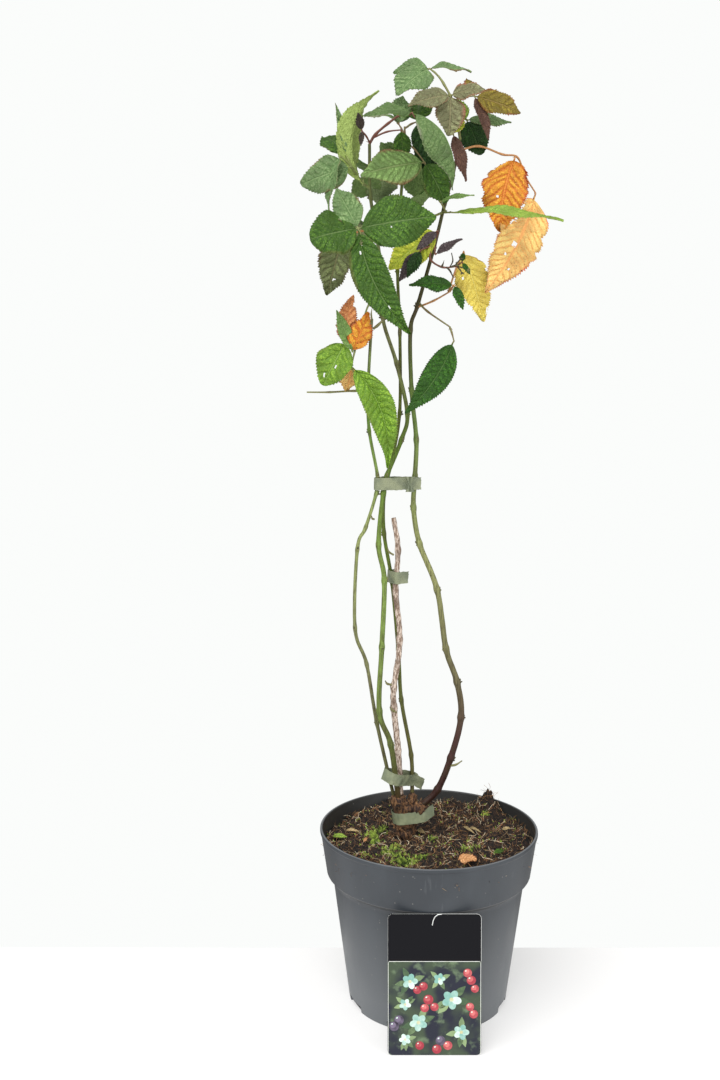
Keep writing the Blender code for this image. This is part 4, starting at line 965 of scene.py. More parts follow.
def build_pot():
    """The pot: a turned wall with a rolled rim, a collar, and drain notches round its foot."""
    collar_foot = POT_HEIGHT - COLLAR_DEPTH
    step_foot = collar_foot - COLLAR_STEP
    profile = rounded([
        (0, WALL), (BASE_RADIUS - WALL, WALL), (BODY_TOP_RADIUS - WALL, step_foot),
        (COLLAR_FOOT_RADIUS - WALL, collar_foot), (RIM_RADIUS - WALL, POT_HEIGHT),
        (RIM_RADIUS + LIP, POT_HEIGHT), (RIM_RADIUS + LIP, POT_HEIGHT - LIP_DEPTH),
        (RIM_RADIUS, POT_HEIGHT - LIP_DEPTH - LIP), (COLLAR_FOOT_RADIUS, collar_foot + LIP),
        (COLLAR_FOOT_RADIUS - LIP, collar_foot), (BODY_TOP_RADIUS + 0.5 * MM, step_foot),
        (BODY_TOP_RADIUS - 0.6 * MM, step_foot - LIP_DEPTH), (BASE_RADIUS, 0), (0, 0)], EDGE_ROUNDING)
    mesh = bpy.data.meshes.new("pot")
    links = [(i, i + 1) for i in range(len(profile) - 1)]
    mesh.from_pydata([(radius, 0, height) for radius, height in profile], links, [])
    pot = linked("pot_turned", mesh)
    spin = pot.modifiers.new("Turn", "SCREW")
    spin.steps = spin.render_steps = POT_STEPS
    spin.use_merge_vertices = True
    spin.merge_threshold = 0.002 * MM
    cutters = bpy.data.collections.new("notches")
    bpy.context.scene.collection.children.link(cutters)
    for i in range(NOTCHES):
        turn = math.tau * (i + 0.5) / NOTCHES
        bpy.ops.mesh.primitive_cube_add(size=1)
        notch = bpy.context.object
        notch.dimensions = (4 * WALL, NOTCH_WIDTH, 2 * NOTCH_HEIGHT)
        notch.rotation_euler.z = turn
        notch.location = (BASE_RADIUS * math.cos(turn), BASE_RADIUS * math.sin(turn), 0)
        notch.users_collection[0].objects.unlink(notch)
        cutters.objects.link(notch)
    cut = pot.modifiers.new("Notches", "BOOLEAN")
    cut.operand_type = "COLLECTION"
    cut.collection = cutters
    cut.solver = "EXACT"
    mesh = plain(pot)
    for notch in list(cutters.objects):
        bpy.data.objects.remove(notch)
    bpy.data.collections.remove(cutters)
    finish = Finish("charcoal plastic")
    grain, dust = finish.noise(900, 3.0), finish.noise(28, 5.0, (1, 1, 0.5))
    scuff = finish.noise(240, 3.0, (1, 1, 0.08))
    speck = finish.cells(150).between(0.10, 0.05) * finish.noise(30).between(0.52, 0.60)
    high, east, north = (finish.axis(name) for name in "ZXY")
    # painted highlights: thin pale lines at the collar's foot and along the top of the rim
    highlight_lines = abs(high - collar_foot).between(0.9 * MM, 0.3 * MM)
    highlight_lines = highlight_lines.either(high.between(POT_HEIGHT - 0.5 * MM, POT_HEIGHT))
    # painted shade: the inner wall above the collar's foot is darkened
    outer = (high - collar_foot) * ((RIM_RADIUS - COLLAR_FOOT_RADIUS) / COLLAR_DEPTH) + COLLAR_FOOT_RADIUS
    inner_wall_shade = ((east * east + north * north).math("SQRT") - outer).between(-1.1 * MM, -0.7 * MM, 1.0, 0.0)
    inner_wall_shade = inner_wall_shade * high.between(step_foot, collar_foot)
    skin = finish.mix(dust.between(0.40, 0.72, 0.0, 0.6), (0.032, 0.038, 0.046), (0.055, 0.064, 0.075))
    # painted light: the body grows lighter towards its foot, standing in for the light of the bright floor on
    # it
    skin = finish.mix(high.between(step_foot, 20 * MM, 0.0, 0.85, "LINEAR"), skin, (0.132, 0.143, 0.153))
    skin = finish.mix(scuff.between(0.66, 0.78, 0.0, 0.25), skin, (0.12, 0.13, 0.14))
    skin = finish.mix(highlight_lines * 0.5, skin, (0.24, 0.25, 0.26))
    # painted shade on the inner wall
    skin = finish.mix(inner_wall_shade, skin, (0.024, 0.024, 0.023))
    skin = finish.mix(speck * 0.6, skin, (0.24, 0.23, 0.21))
    finish = finish.done(skin, dust.between(0.3, 0.7, 0.36, 0.50), grain, 0.05 * MM)
    piece("pot_shell", mesh, "pot", ["pot"], finish, 35)


# Soil
def soil_height(x, y):
    """The soil's top: long swells, crumbs and the clod at the back, calm round the root crown."""
    ripple = math.sin(95 * x + 1) * math.cos(110 * y) + 0.6 * math.sin(210 * x - 150 * y + 2)
    flat = Vector((x, y))
    calm = min(1.0, max(0.3, (flat - CROWN_PLACE).length / CROWN_PAD - 1))
    place = flat.to_3d()
    crumbs = sum(lift * noise.noise(place * fineness) for lift, fineness in CRUMBS)
    clod = CLOD_HEIGHT * math.exp(-((flat - CLOD).length / CLOD_RADIUS) ** 2)
    clod *= 1 + 0.45 * noise.noise(place * 260)
    swell = SOIL_SWELL * max(0.0, min(1.0, (0.45 * x + 0.9 * y) / SWELL_REACH))
    return SOIL_LEVEL + (SOIL_ROUGHNESS * calm * ripple + crumbs * max(calm, 0.5)) * MM + clod + swell


def moss_share(x, y):
    """How mossy the soil is at a place."""
    ragged = 0.7 * noise.noise(Vector((x, y, 0)) * 190)
    nearest = min(math.hypot(x - a * MM, y - b * MM) / (r * MM) for a, b, r in MOSS)
    sprigs = MOSS_SPRIGS * (1 + 1.5 * noise.noise(Vector((x, y, 1)) * 90))
    return max(sprigs, min(1.0, 1.05 - nearest + 1.1 * ragged), 0.0)


def build_soil():
    """The soil: a rough plug in the pot, with crumbs, fibres, bark, moss and fallen leaves on it."""
    step_foot = POT_HEIGHT - COLLAR_DEPTH - COLLAR_STEP
    inset = WALL + 0.5 * MM
    top_radius = COLLAR_FOOT_RADIUS + 0.65 * (RIM_RADIUS - COLLAR_FOOT_RADIUS) - inset
    lower = ((COLLAR_FOOT_RADIUS - inset, step_foot + COLLAR_STEP), (BODY_TOP_RADIUS - inset, step_foot),
             (BASE_RADIUS - inset, WALL + 0.4 * MM))
    turns = [math.tau * k / SOIL_STEPS for k in range(SOIL_STEPS)]
    rounds = [(math.cos(turn), math.sin(turn)) for turn in turns]
    points, moss = [], []
    for i in range(SOIL_RINGS):
        radius = top_radius * (i + 1) / SOIL_RINGS
        sink = 15 * MM * max(0.0, radius / top_radius - 0.9)
        for east, north in rounds:
            points.append((radius * east, radius * north, soil_height(radius * east, radius * north) - sink))
            moss.append(moss_share(radius * east, radius * north))
    top = len(points)
    points += [(radius * east, radius * north, height) for radius, height in lower for east, north in rounds]
    faces = []
    for i in range(len(points) // SOIL_STEPS - 1):
        for k in range(SOIL_STEPS):
            a, b = i * SOIL_STEPS + k, i * SOIL_STEPS + (k + 1) % SOIL_STEPS
            faces.append((a, a + SOIL_STEPS, b + SOIL_STEPS, b))
    faces.append(tuple(range(SOIL_STEPS)))
    faces.append(tuple(reversed(range(len(points) - SOIL_STEPS, len(points)))))
    batch = Batch()
    batch.add(points, faces, [(0, 0, 0, share, 0) for share in moss + [0.0] * (len(points) - top)])
    finish = Finish("peat")
    lump, grain = finish.noise(320, 5.0), finish.noise(1400, 3.0)
    skin = finish.mix(lump.between(0.38, 0.66), (0.003, 0.002, 0.0015), (0.034, 0.017, 0.010))
    skin = finish.mix(finish.mark("tone").between(0.3, 0.8, 0.0, 0.6), skin, (0.030, 0.050, 0.008))
    finish = finish.done(skin, 0.95, lump + grain * 0.5, 1.5 * MM)
    piece("soil_bed", batch.mesh(), "soil", ["soil"], finish, 180)

    ground = bpy.data.meshes.new("ground")
    ground.from_pydata(points[:top], [], [face for face in faces if max(face) < top and len(face) == 4])
    for name, shares in (("mossy", moss), ("bare", [1 - 0.85 * share for share in moss])):
        ground.attributes.new(name, "FLOAT", "POINT").data.foreach_set("value", shares)
    chance = random.Random(SEED)
    peat = toned_finish("peat crumbs", (0.003, 0.002, 0.0015), (0.052, 0.025, 0.014), 0.95, 900, 0.4 * MM)
    bark = toned_finish("bark chips", (0.003, 0.002, 0.0015), (0.260, 0.115, 0.055), 0.8, 700, 0.4 * MM)
    root = toned_finish("peat fibres", (0.004, 0.002, 0.0015), (0.440, 0.230, 0.090), 0.85, 900, 0.1 * MM)
    straw = toned_finish("straw", (0.340, 0.230, 0.110), (0.990, 0.870, 0.620), 0.7, 900, 0.1 * MM)
    green = toned_finish("moss", (0.045, 0.095, 0.008), (0.520, 0.680, 0.110), 0.6, 350, 0.1 * MM)
    pale = toned_finish("grit", (0.300, 0.250, 0.180), (0.800, 0.740, 0.620), 0.6, 900, 0.1 * MM)
    strew = strewing()
    for name, maker, finish, mark, density, sizes, tip in (
            ("soil_crumbs", crumb, peat, "bare", 48000, (0.5, 1.9), 3.0),
            ("bark_chips", chip, bark, "bare", 26000, (0.4, 1.4), 0.9),
            ("peat_fibres", fibre, root, "bare", 88000, (0.45, 1.3), 0.9),
            ("straw_bits", fibre, straw, "bare", 24000, (0.35, 1.4), 0.8),
            ("moss_tufts", tuft, green, "mossy", 800000, (0.7, 1.6), 0.6),
            ("soil_grit", crumb, pale, "bare", 4500, (0.2, 0.6), 3.0)):
        bits = [maker(chance) for _ in range(BIT_SHAPES)]
        piece(name, strewn(strew, name, ground, bits, finish, mark, density, sizes, tip), "soil")
    litter = {row[-1]: Batch() for row in LITTER}
    for x, y, heading, length, width, tint in LITTER:
        root = Vector((x * MM, y * MM, soil_height(x * MM, y * MM) + 2.2 * MM))
        blade(litter[tint], root, (heading, 4, length, width, heading - 90, 55, 50, tint), 0.3, chance)
    for tint, batch in litter.items():
        piece(f"litter_{tint}", batch.mesh(), "soil", (), leaf_finish(f"litter {tint}", *TINTS[tint]))


def crumb(chance):
    """A lump of peat about 2 mm across."""
    bpy.ops.mesh.primitive_ico_sphere_add(subdivisions=2, radius=1.0 * MM)
    mesh = plain(bpy.context.object)
    shift = Vector([chance.uniform(0, 9) for _ in range(3)])
    for vertex in mesh.vertices:
        vertex.co *= 1 + 0.9 * noise.noise(vertex.co * 900 + shift)
        vertex.co.z *= 0.75
    return mesh


def chip(chance):
    """A flake of bark about 4 mm long."""
    batch = Batch()
    length, width = chance.uniform(1.6, 3.2) * MM, chance.uniform(0.6, 1.2) * MM
    rows = []
    for i in range(4):
        half = width * (1 - 0.5 * abs(i / 1.5 - 1)) * chance.uniform(0.7, 1.2)
        rows.append([Vector(((i / 3 - 0.5) * 2 * length, half * (j - 1), chance.uniform(-0.3, 0.3) * MM))
                     for j in range(3)])
    thin_shell(batch, rows, [[Vector((0, 0, 1))] * 3] * 4, 0.6 * MM, [[(0, 0, 0, 0)] * 3] * 4)
    return batch.mesh()


def fibre(chance):
    """A bent fibre about 9 mm long."""
    batch = Batch()
    reach = chance.uniform(3.0, 6.5)
    kinks = [(reach * (k / 2 - 1), chance.uniform(-1.4, 1.4), 0.5 + chance.uniform(-0.4, 1.4))
             for k in range(5)]
    curve = [place for place, _ in flowing(kinks, 1.2 * MM)]
    thick = chance.uniform(0.07, 0.17) * MM
    limb(batch, curve, [thick * (1 - 0.5 * k / len(curve)) for k in range(len(curve))], 3)
    return batch.mesh()


def tuft(chance):
    """A sprig of moss about 2 mm high: narrow leaves on all sides of a stem."""
    points, faces = [], []
    for k in range(TUFT_LEAVES):
        base = Vector((0, 0, 0.16 * k * MM))
        out = direction(GOLDEN_ANGLE * k, 15 + 5 * k)
        across = out.cross(Vector((0, 0, 1))).normalized() * 0.16 * MM
        tip = base + out * chance.uniform(0.8, 1.3) * MM
        first = len(points)
        points += [base - across, base + across, tip, base.lerp(tip, 0.4) + Vector((0, 0, 0.16 * MM))]
        corners = ((0, 1, 3), (1, 2, 3), (2, 0, 3), (0, 2, 1))
        faces += [tuple(first + corner for corner in face) for face in corners]
    mesh = bpy.data.meshes.new("tuft")
    mesh.from_pydata(points, [], faces)
    return mesh


def strewing():
    """The rule that strews bits on a ground, as many to the square metre as the density by a mark."""
    rule = Growth("strewing", Bits="Collection", Mark="String", Density="Float", Smallest="Float",
                  Largest="Float", Tip="Float", Seed="Int")
    given = rule.given
    thick = rule.kept(given["Mark"]) * given["Density"]
    spots = rule.node("GeometryNodeDistributePointsOnFaces",
                      {"Mesh": given["Base"], "Density": thick, "Seed": given["Seed"]}).outputs
    tip = Channel(rule, given["Tip"])
    lowest = rule.node("ShaderNodeCombineXYZ", {0: tip * -1.0, 1: tip * -1.0, 2: 0.0}).outputs[0]
    highest = rule.node("ShaderNodeCombineXYZ", {0: tip, 1: tip, 2: math.tau}).outputs[0]
    turn = rule.node("FunctionNodeRandomValue", {0: lowest, 1: highest, "Seed": 1},
                     data_type="FLOAT_VECTOR").outputs[0]
    turn = rule.node("FunctionNodeEulerToRotation", {0: turn}).outputs[0]
    turn = rule.node("FunctionNodeRotateRotation", {0: spots["Rotation"], 1: turn},
                     rotation_space="LOCAL").outputs[0]
    kit = rule.node("GeometryNodeCollectionInfo", {"Collection": given["Bits"], "Separate Children": True,
                                                   "Reset Children": True}).outputs[0]
    put = rule.node("GeometryNodeInstanceOnPoints", {
        "Points": spots["Points"], "Instance": kit, "Pick Instance": True, "Rotation": turn,
        "Scale": rule.chance(given["Smallest"], given["Largest"], 2)}).outputs[0]
    rule.close(rule.keep(put, "tone", rule.chance(0.0, 1.0, 3), "INSTANCE"))
    return rule


def strewn(rule, name, ground, bits, finish, mark, density, sizes, tip):
    """The mesh of all the bits that the rule strews on the ground."""
    shelf = bpy.data.collections.new(name)
    for k, bit in enumerate(bits):
        if "tone" in bit.attributes:
            bit.attributes.remove(bit.attributes["tone"])
        shelf.objects.link(bpy.data.objects.new(f"{name}_bit_{k}", bit))
    mesh = rule.grown(ground.copy(), Bits=shelf, Mark=mark, Density=float(density), Smallest=sizes[0],
                      Largest=sizes[1], Tip=tip, Seed=SEED, Finish=finish)
    for obj in list(shelf.objects):
        bpy.data.objects.remove(obj)
    bpy.data.collections.remove(shelf)
    return mesh


# Canes
def barking():
    """The rule that wraps bark round a centre line: soft ridges and noise drawn out upwards."""
    rule = Growth("barking", Sides="Int", Ridge="Float", Rough="Float", Grain="Float")
    given = rule.given
    line = rule.node("GeometryNodeMeshToCurve", {"Mesh": given["Base"]}).outputs[0]
    girth = rule.kept("girth")
    line = rule.node("GeometryNodeSetCurveRadius", {"Curve": line, "Radius": girth}).outputs[0]
    ring = rule.node("GeometryNodeCurvePrimitiveCircle",
                     {"Resolution": given["Sides"], "Radius": 1.0}).outputs[0]
    ring = rule.keep(ring, "across", rule.node("GeometryNodeSplineParameter").outputs["Factor"])
    tube = rule.node("GeometryNodeCurveToMesh", {"Curve": line, "Profile Curve": ring, "Fill Caps": True})
    if "Scale" in tube.inputs:
        rule.feed(tube.inputs["Scale"], girth)
    ridge = (rule.kept("across") * (CANE_RIDGES * math.tau)).math("COSINE") * given["Ridge"]
    place = rule.node("GeometryNodeInputPosition").outputs[0]
    drawn = rule.node("ShaderNodeVectorMath", {0: place, 1: (1, 1, 0.3)}, operation="MULTIPLY").outputs[0]
    rough = rule.node("ShaderNodeTexNoise",
                      {"Vector": drawn, "Scale": given["Grain"], "Detail": 4.0}).outputs[0]
    lift = (ridge + (Channel(rule, rough) - 0.5) * given["Rough"]) * girth
    normal = rule.node("GeometryNodeInputNormal").outputs[0]
    shift = rule.node("ShaderNodeVectorMath", {0: normal, "Scale": lift}, operation="SCALE").outputs[0]
    moved = rule.node("GeometryNodeSetPosition", {"Geometry": tube.outputs[0], "Offset": shift})
    rule.close(moved.outputs[0])
    return rule


def build_canes():
    """The canes in their bark, their buds and leaf scars, the bare twiglets and the root crown."""
    canes, buds, rule = {}, Batch(), barking()
    for name, spec in CANES.items():
        cane = canes[name] = Cane(spec["path"], spec["radii"])
        is_old = name == "old_stub"
        line = bpy.data.meshes.new(name)
        line.from_pydata(cane.centres, [(i, i + 1) for i in range(len(cane.centres) - 1)], [])
        line.attributes.new("girth", "FLOAT", "POINT").data.foreach_set("value", cane.radii)
        if is_old:
            finish = old_bark_finish(name, *spec["bark"], OLD_BARK_SCALE)
        else:
            finish = stem_finish(name, spec["bark"])
        relief = OLD_RELIEF if is_old else YOUNG_RELIEF
        mesh = rule.grown(line, Sides=CANE_SIDES, Finish=finish, **relief)
        parts = [f"{name}_{k + 1}" for k in range(spec["parts"])] if spec["parts"] > 1 else [name]
        piece(f"{name}_bark", mesh, parts[0], parts)
        if not is_old:
            dress_nodes(buds, cane, spec["path"])
    chance = random.Random(SEED)
    for path, radii, is_flower in TWIGLETS:
        twig = Cane(path, radii, 1 * MM)
        tone = 0.2 if path[0][2] > BROWN_ABOVE else 1.0
        limb(buds, twig.centres, twig.radii, 8, tone)
        tip, aim = twig.centres[-1], (twig.centres[-1] - twig.centres[-2]).normalized()
        if is_flower:
            dry_flower(buds, tip, aim, chance)
        else:
            tips = [tip + aim * radii[1] * MM * k for k in (-1, 0, 1, 1.8)]
            limb(buds, tips, [radii[1] * MM * r for r in (0.9, 1.15, 0.95, 0.2)], 8, 0.7 * tone)
    finish = toned_finish("bud scales", (0.030, 0.022, 0.010), (0.190, 0.180, 0.070), 0.6, 700, 0.2 * MM)
    piece("buds", buds.mesh(), "stem_right_1", (), finish)
    canes["stump"] = Cane(STUMP["path"], STUMP["radii"], 2 * MM)
    canes["arm_right"] = Cane(ARM_RIGHT["path"], ARM_RIGHT["radii"], 2 * MM)
    build_crown()
    return canes


def dry_flower(batch, tip, aim, chance):
    """What is left of a flower: a small cup with pointed sepals round it."""
    cup = [tip + aim * k * MM for k in (-0.7, 0.0, 0.7, 1.0)]
    limb(batch, cup, [r * MM for r in (0.4, 1.0, 0.9, 0.3)], 8, chance.random())
    side = aim.orthogonal().normalized()
    for k in range(6):
        way = Matrix.Rotation(math.tau * (k + chance.uniform(-0.3, 0.3)) / 6, 3, aim) @ side
        way = (way + chance.uniform(0.1, 1.0) * aim).normalized()
        reach = chance.uniform(1.8, 3.2) * MM
        sepal = [tip + way * 0.4 * MM, tip + way * reach * 0.6, tip + way * reach + aim * 0.4 * MM]
        limb(batch, sepal, [0.5 * MM, 0.45 * MM, 0.06 * MM], 6, chance.random())


def dress_nodes(buds, cane, path):
    """A slim bud and the stub of a leaf stalk on the outside of each bend."""
    chance = random.Random(f"{path[0]} {SEED}")
    for before, node, after in zip(path, path[1:], path[2:]):
        centre, aim, radius = cane.nearest(Vector(node) * MM)
        bow = (2 * Vector(node) - Vector(before) - Vector(after)).normalized()
        out = (bow - bow.dot(aim) * aim + 0.3 * direction(chance.uniform(0, 360), 0)).normalized()
        size = chance.uniform(2.2, 4.2) * MM
        place, way = centre + out * radius * 0.75, (out + 1.3 * aim).normalized()
        spine = [place + way * size * k / 5 - out * size * 0.05 * k for k in range(6)]
        limb(buds, spine, [size * r for r in (0.17, 0.22, 0.21, 0.16, 0.09, 0.02)], 8, chance.random())
        scale = [place + (way + 0.3 * aim.cross(out)).normalized() * size * 0.2 * k for k in range(4)]
        limb(buds, scale, [size * r for r in (0.14, 0.14, 0.09, 0.02)], 6, chance.random())
        low, stub = centre + out * radius * 0.75 - aim * 1.2 * MM, (out + 0.5 * aim).normalized()
        reach = chance.uniform(0.8, 2.2) * MM
        girths = [0.75 * MM, 0.65 * MM, 0.6 * MM, 0.65 * MM]
        limb(buds, [low + stub * reach * k / 3 for k in range(4)], girths, 8, chance.random())


def build_crown():
    """The root crown: its solid wrapped in torn bark, with loose flakes standing off it."""
    solid = frame["nodes"]["root_crown"]
    crown = linked("crown", solid.data.copy())
    skin = crown.modifiers.new("Even", "REMESH")
    skin.mode = "VOXEL"
    skin.voxel_size = CROWN_GRAIN
    ease = crown.modifiers.new("Ease", "SMOOTH")
    ease.iterations = 10
    mesh = plain(crown)
    normals = [vertex.normal.copy() for vertex in mesh.vertices]
    for vertex, normal in zip(mesh.vertices, normals):
        long = Vector((vertex.co.x, vertex.co.y, vertex.co.z * 0.22))
        rough = 1.2 * noise.noise(long * 260) + 1.0 * noise.noise(long * 620)
        rough += 0.5 * noise.noise(vertex.co * 1300)
        bound = min(1.0, 0.15 + abs(vertex.co.z - TIES["tie_foot"]["height"] * MM) / (9 * MM))
        fade = min(1.0, max(0.0, (CROWN_TOP - vertex.co.z) / (8 * MM)))
        vertex.co += normal * rough * bound * MM * fade
        vertex.co.z = max(vertex.co.z, CROWN_FOOT)
    heights = [vertex.co.z / MM for vertex in mesh.vertices]
    bare = [float(any(low < height < high for low, high in FLAKING)) for height in heights]
    mesh.attributes.new("bare", "FLOAT", "POINT").data.foreach_set("value", bare)
    chance = random.Random(SEED)
    torn = toned_finish("torn bark", (0.010, 0.005, 0.003), (0.230, 0.115, 0.048), 0.85, 500, 0.3 * MM)
    bits = [chip(chance) for _ in range(BIT_SHAPES)]
    flakes = strewn(strewing(), "crown_flakes", mesh, bits, torn, "bare", 110000, (0.4, 1.1), 0.5)
    piece("crown_flakes", flakes, "root_crown")
    bark = old_bark_finish("root_crown", (0.165, 0.080, 0.034), (0.028, 0.012, 0.007), CROWN_BARK_SCALE)
    piece("crown_bark", mesh, "root_crown", ["root_crown"], bark, 80)


# Ties
def build_ties(canes):
    """Bands of tape, each drawn once round its canes with its end left loose."""
    finish = Finish("tape")
    crease, cloud = finish.noise(420, 3.0, (1, 1, 3)), finish.noise(90, 2.0)
    skin = finish.mix(cloud.between(0.3, 0.7), (0.150, 0.175, 0.112), (0.262, 0.286, 0.172))
    tape = finish.done(skin, crease.between(0.3, 0.7, 0.30, 0.50), crease, 0.3 * MM)
    for name, tie in TIES.items():
        slant = Matrix.Rotation(math.radians(tie["slant"]), 3, "Y")
        up, across = slant @ Vector((0, 0, 1)), slant @ Vector((1, 0, 0))
        deep = up.cross(across)
        held = [canes[key] for key in tie["canes"]]
        at = [min(cane.centres, key=lambda place: abs(place.z - tie["height"] * MM)) for cane in held]
        middle = sum(at, Vector()) / len(at)
        middle.z = tie["height"] * MM
        spots = []
        for cane in held:
            for place, radius in zip(cane.centres, cane.radii):
                off = place - middle
                if abs(off.dot(up)) < TIE_DEPTH / 2 + 1 * MM:
                    for k in range(TIE_STEPS):
                        turn = math.tau * k / TIE_STEPS
                        spots.append((off.dot(across) + (radius + TIE_GAP) * math.cos(turn),
                                      off.dot(deep) + (radius + TIE_GAP) * math.sin(turn)))
        hull = [Vector(spots[k]) for k in convex_hull_2d(spots)]
        start = max(range(len(hull)), key=lambda k: hull[k].x - 0.8 * hull[k].y)
        loop = hull[start:] + hull[:start + 1]
        leave = (loop[-1] - loop[-2]).normalized() + Vector((0.6, 0))
        loop.append(loop[-1] + leave.normalized() * tie["tail"] * MM)
        batch = Batch()
        wrap(batch, loop, tie["tail"] * MM, tie["rise"],
             lambda spot, high: middle + across * spot.x + deep * spot.y + up * high)
        if name == "tie_top":
            front = min(hull, key=lambda spot: spot.y)
            knot(batch, middle + across * KNOT_OFFSET + deep * (front.y - 1.2 * MM), across, up, deep)
        piece(f"{name}_tape", batch.mesh(), name, [name], tape)


def wrap(batch, loop, tail, rise, place_at):
    """A crinkled band along a flat loop, whose tail lifts off and rises."""
    lengths = [0.0]
    for a, b in zip(loop, loop[1:]):
        lengths.append(lengths[-1] + (b - a).length)
    steps = round(lengths[-1] / TAPE_STEP)
    origin = place_at(Vector((0, 0)), 0)
    rows, lifts, marks = [], [], []
    for i in range(steps + 1):
        far = lengths[-1] * i / steps
        k = max(n for n in range(len(loop) - 1) if lengths[n] <= far)
        a, b = loop[k], loop[k + 1]
        spot = a.lerp(b, (far - lengths[k]) / max(1e-9, lengths[k + 1] - lengths[k]))
        out = Vector(((b - a).y, -(b - a).x)).normalized()
        past = max(0.0, far - lengths[-1] + tail)
        lift = 0.45 * MM * min(1.0, max(0.0, far - lengths[-1] + tail + 5 * MM) / (4 * MM))
        facing = place_at(out, 0) - origin
        line = []
        for j in range(TAPE_COLUMNS + 1):
            swell = 1 + 0.10 * noise.noise(Vector((far * 300, j / 4, 0)))
            high = (j / TAPE_COLUMNS - 0.5) * TIE_DEPTH * swell + rise * past
            crinkle = 0.5 * MM * (noise.noise(Vector((far * 260, j * 0.22, lengths[-1] * 900))) + 0.4)
            ragged = 0.8 * MM * noise.noise(Vector((j * 0.8, 3, 0))) if i == steps else 0
            line.append(place_at(spot + out * (lift + crinkle) + (b - a).normalized() * ragged, high))
        rows.append(line)
        lifts.append([facing] * len(line))
        marks.append([(i / steps, j / TAPE_COLUMNS, 0, 0) for j in range(len(line))])
    thin_shell(batch, rows, lifts, TAPE, marks)


def knot(batch, middle, across, up, deep):
    """Gathered tape: two pleated fans pinched at the middle."""
    rows = []
    count = KNOT_STEPS + 1
    for i in range(count):
        high = (i / KNOT_STEPS - 0.5) * KNOT_HEIGHT
        half = (1.2 + 0.42 * abs(high) / MM) * MM
        pleat = 0.3 + 2 * abs(high) / KNOT_HEIGHT
        rows.append([middle + up * high + across * half * (2 * j / KNOT_STEPS - 1)
                     - deep * (0.9 * MM * abs(math.sin(j * 1.3)) * pleat) for j in range(count)])
    thin_shell(batch, rows, [[-deep] * count] * count, TAPE, [[(0, 0, 0, 0)] * count] * count)


# Card
def build_card():
    """The plant card: blossoms and berries printed under a dark header, with no words."""
    head_y = -COLLAR_FOOT_RADIUS - 0.3 * MM - CARD_THICKNESS / 2
    lean = math.atan2(head_y - CARD_FOOT_Y, POT_HEIGHT - COLLAR_DEPTH)
    up = Vector((0, math.sin(lean), math.cos(lean)))
    out = Vector((0, -math.cos(lean), math.sin(lean)))
    foot = Vector((0, CARD_FOOT_Y, 0.3 * MM + CARD_THICKNESS / 2 * math.sin(lean)))
    curve = bpy.data.curves.new("card", "CURVE")
    curve.dimensions = "2D"
    curve.fill_mode = "BOTH"
    curve.extrude = CARD_THICKNESS / 2
    loop = []
    for k, (right, top) in enumerate(((1, 1), (-1, 1), (-1, -1), (1, -1))):
        centre = Vector((right * (CARD_WIDTH / 2 - CARD_CORNER), top * (CARD_HEIGHT / 2 - CARD_CORNER)))
        for step in range(9):
            turn = math.pi / 2 * (k + step / 8)
            loop.append(centre + CARD_CORNER * Vector((math.cos(turn), math.sin(turn))))
    spline = curve.splines.new("POLY")
    spline.points.add(len(loop) - 1)
    spline.use_cyclic_u = True
    for point, place in zip(spline.points, loop):
        point.co = (place.x, place.y, 0, 1)
    card = linked("card", curve)
    card.rotation_euler = (math.pi / 2 - lean, 0, 0)
    card.location = foot + up * CARD_HEIGHT / 2
    mesh = plain(card)
    finish = Finish("card stock")
    blur, small = finish.noise(42, 2.0), finish.noise(120, 3.0)
    picture = finish.mix(blur.between(0.40, 0.60), (0.026, 0.028, 0.042), (0.062, 0.085, 0.055))
    picture = finish.mix(small.between(0.54, 0.74, 0.0, 0.55), picture, (0.20, 0.28, 0.16))
    border = PICTURE_TOP * MM * math.cos(lean)
    skin = finish.mix(finish.axis("Z").between(border, border + 0.2 * MM), picture, (0.004, 0.004, 0.006))
    piece("card_sheet", mesh, "label", ["label"], finish.done(skin, 0.5, Specular_IOR_Level=0.15), 30)

    def spot(x, y, proud):
        """The place of a printed point, so many mm proud of the card's face."""
        return foot + Vector((x * MM, 0, 0)) + up * y * MM + out * (CARD_THICKNESS / 2 + proud * MM)

    print_card(spot)


def oval(x, y, length, width, heading, point=0.0):
    """An oval with one pointed end, turned to a heading."""
    turn, shape = math.radians(heading), []
    for k in range(18):
        a = math.tau * k / 18
        u, v = length / 2 * math.cos(a), width / 2 * math.sin(a) * (1 - point * max(0.0, math.cos(a)))
        shape.append((x + u * math.cos(turn) - v * math.sin(turn),
                      y + u * math.sin(turn) + v * math.cos(turn)))
    return shape


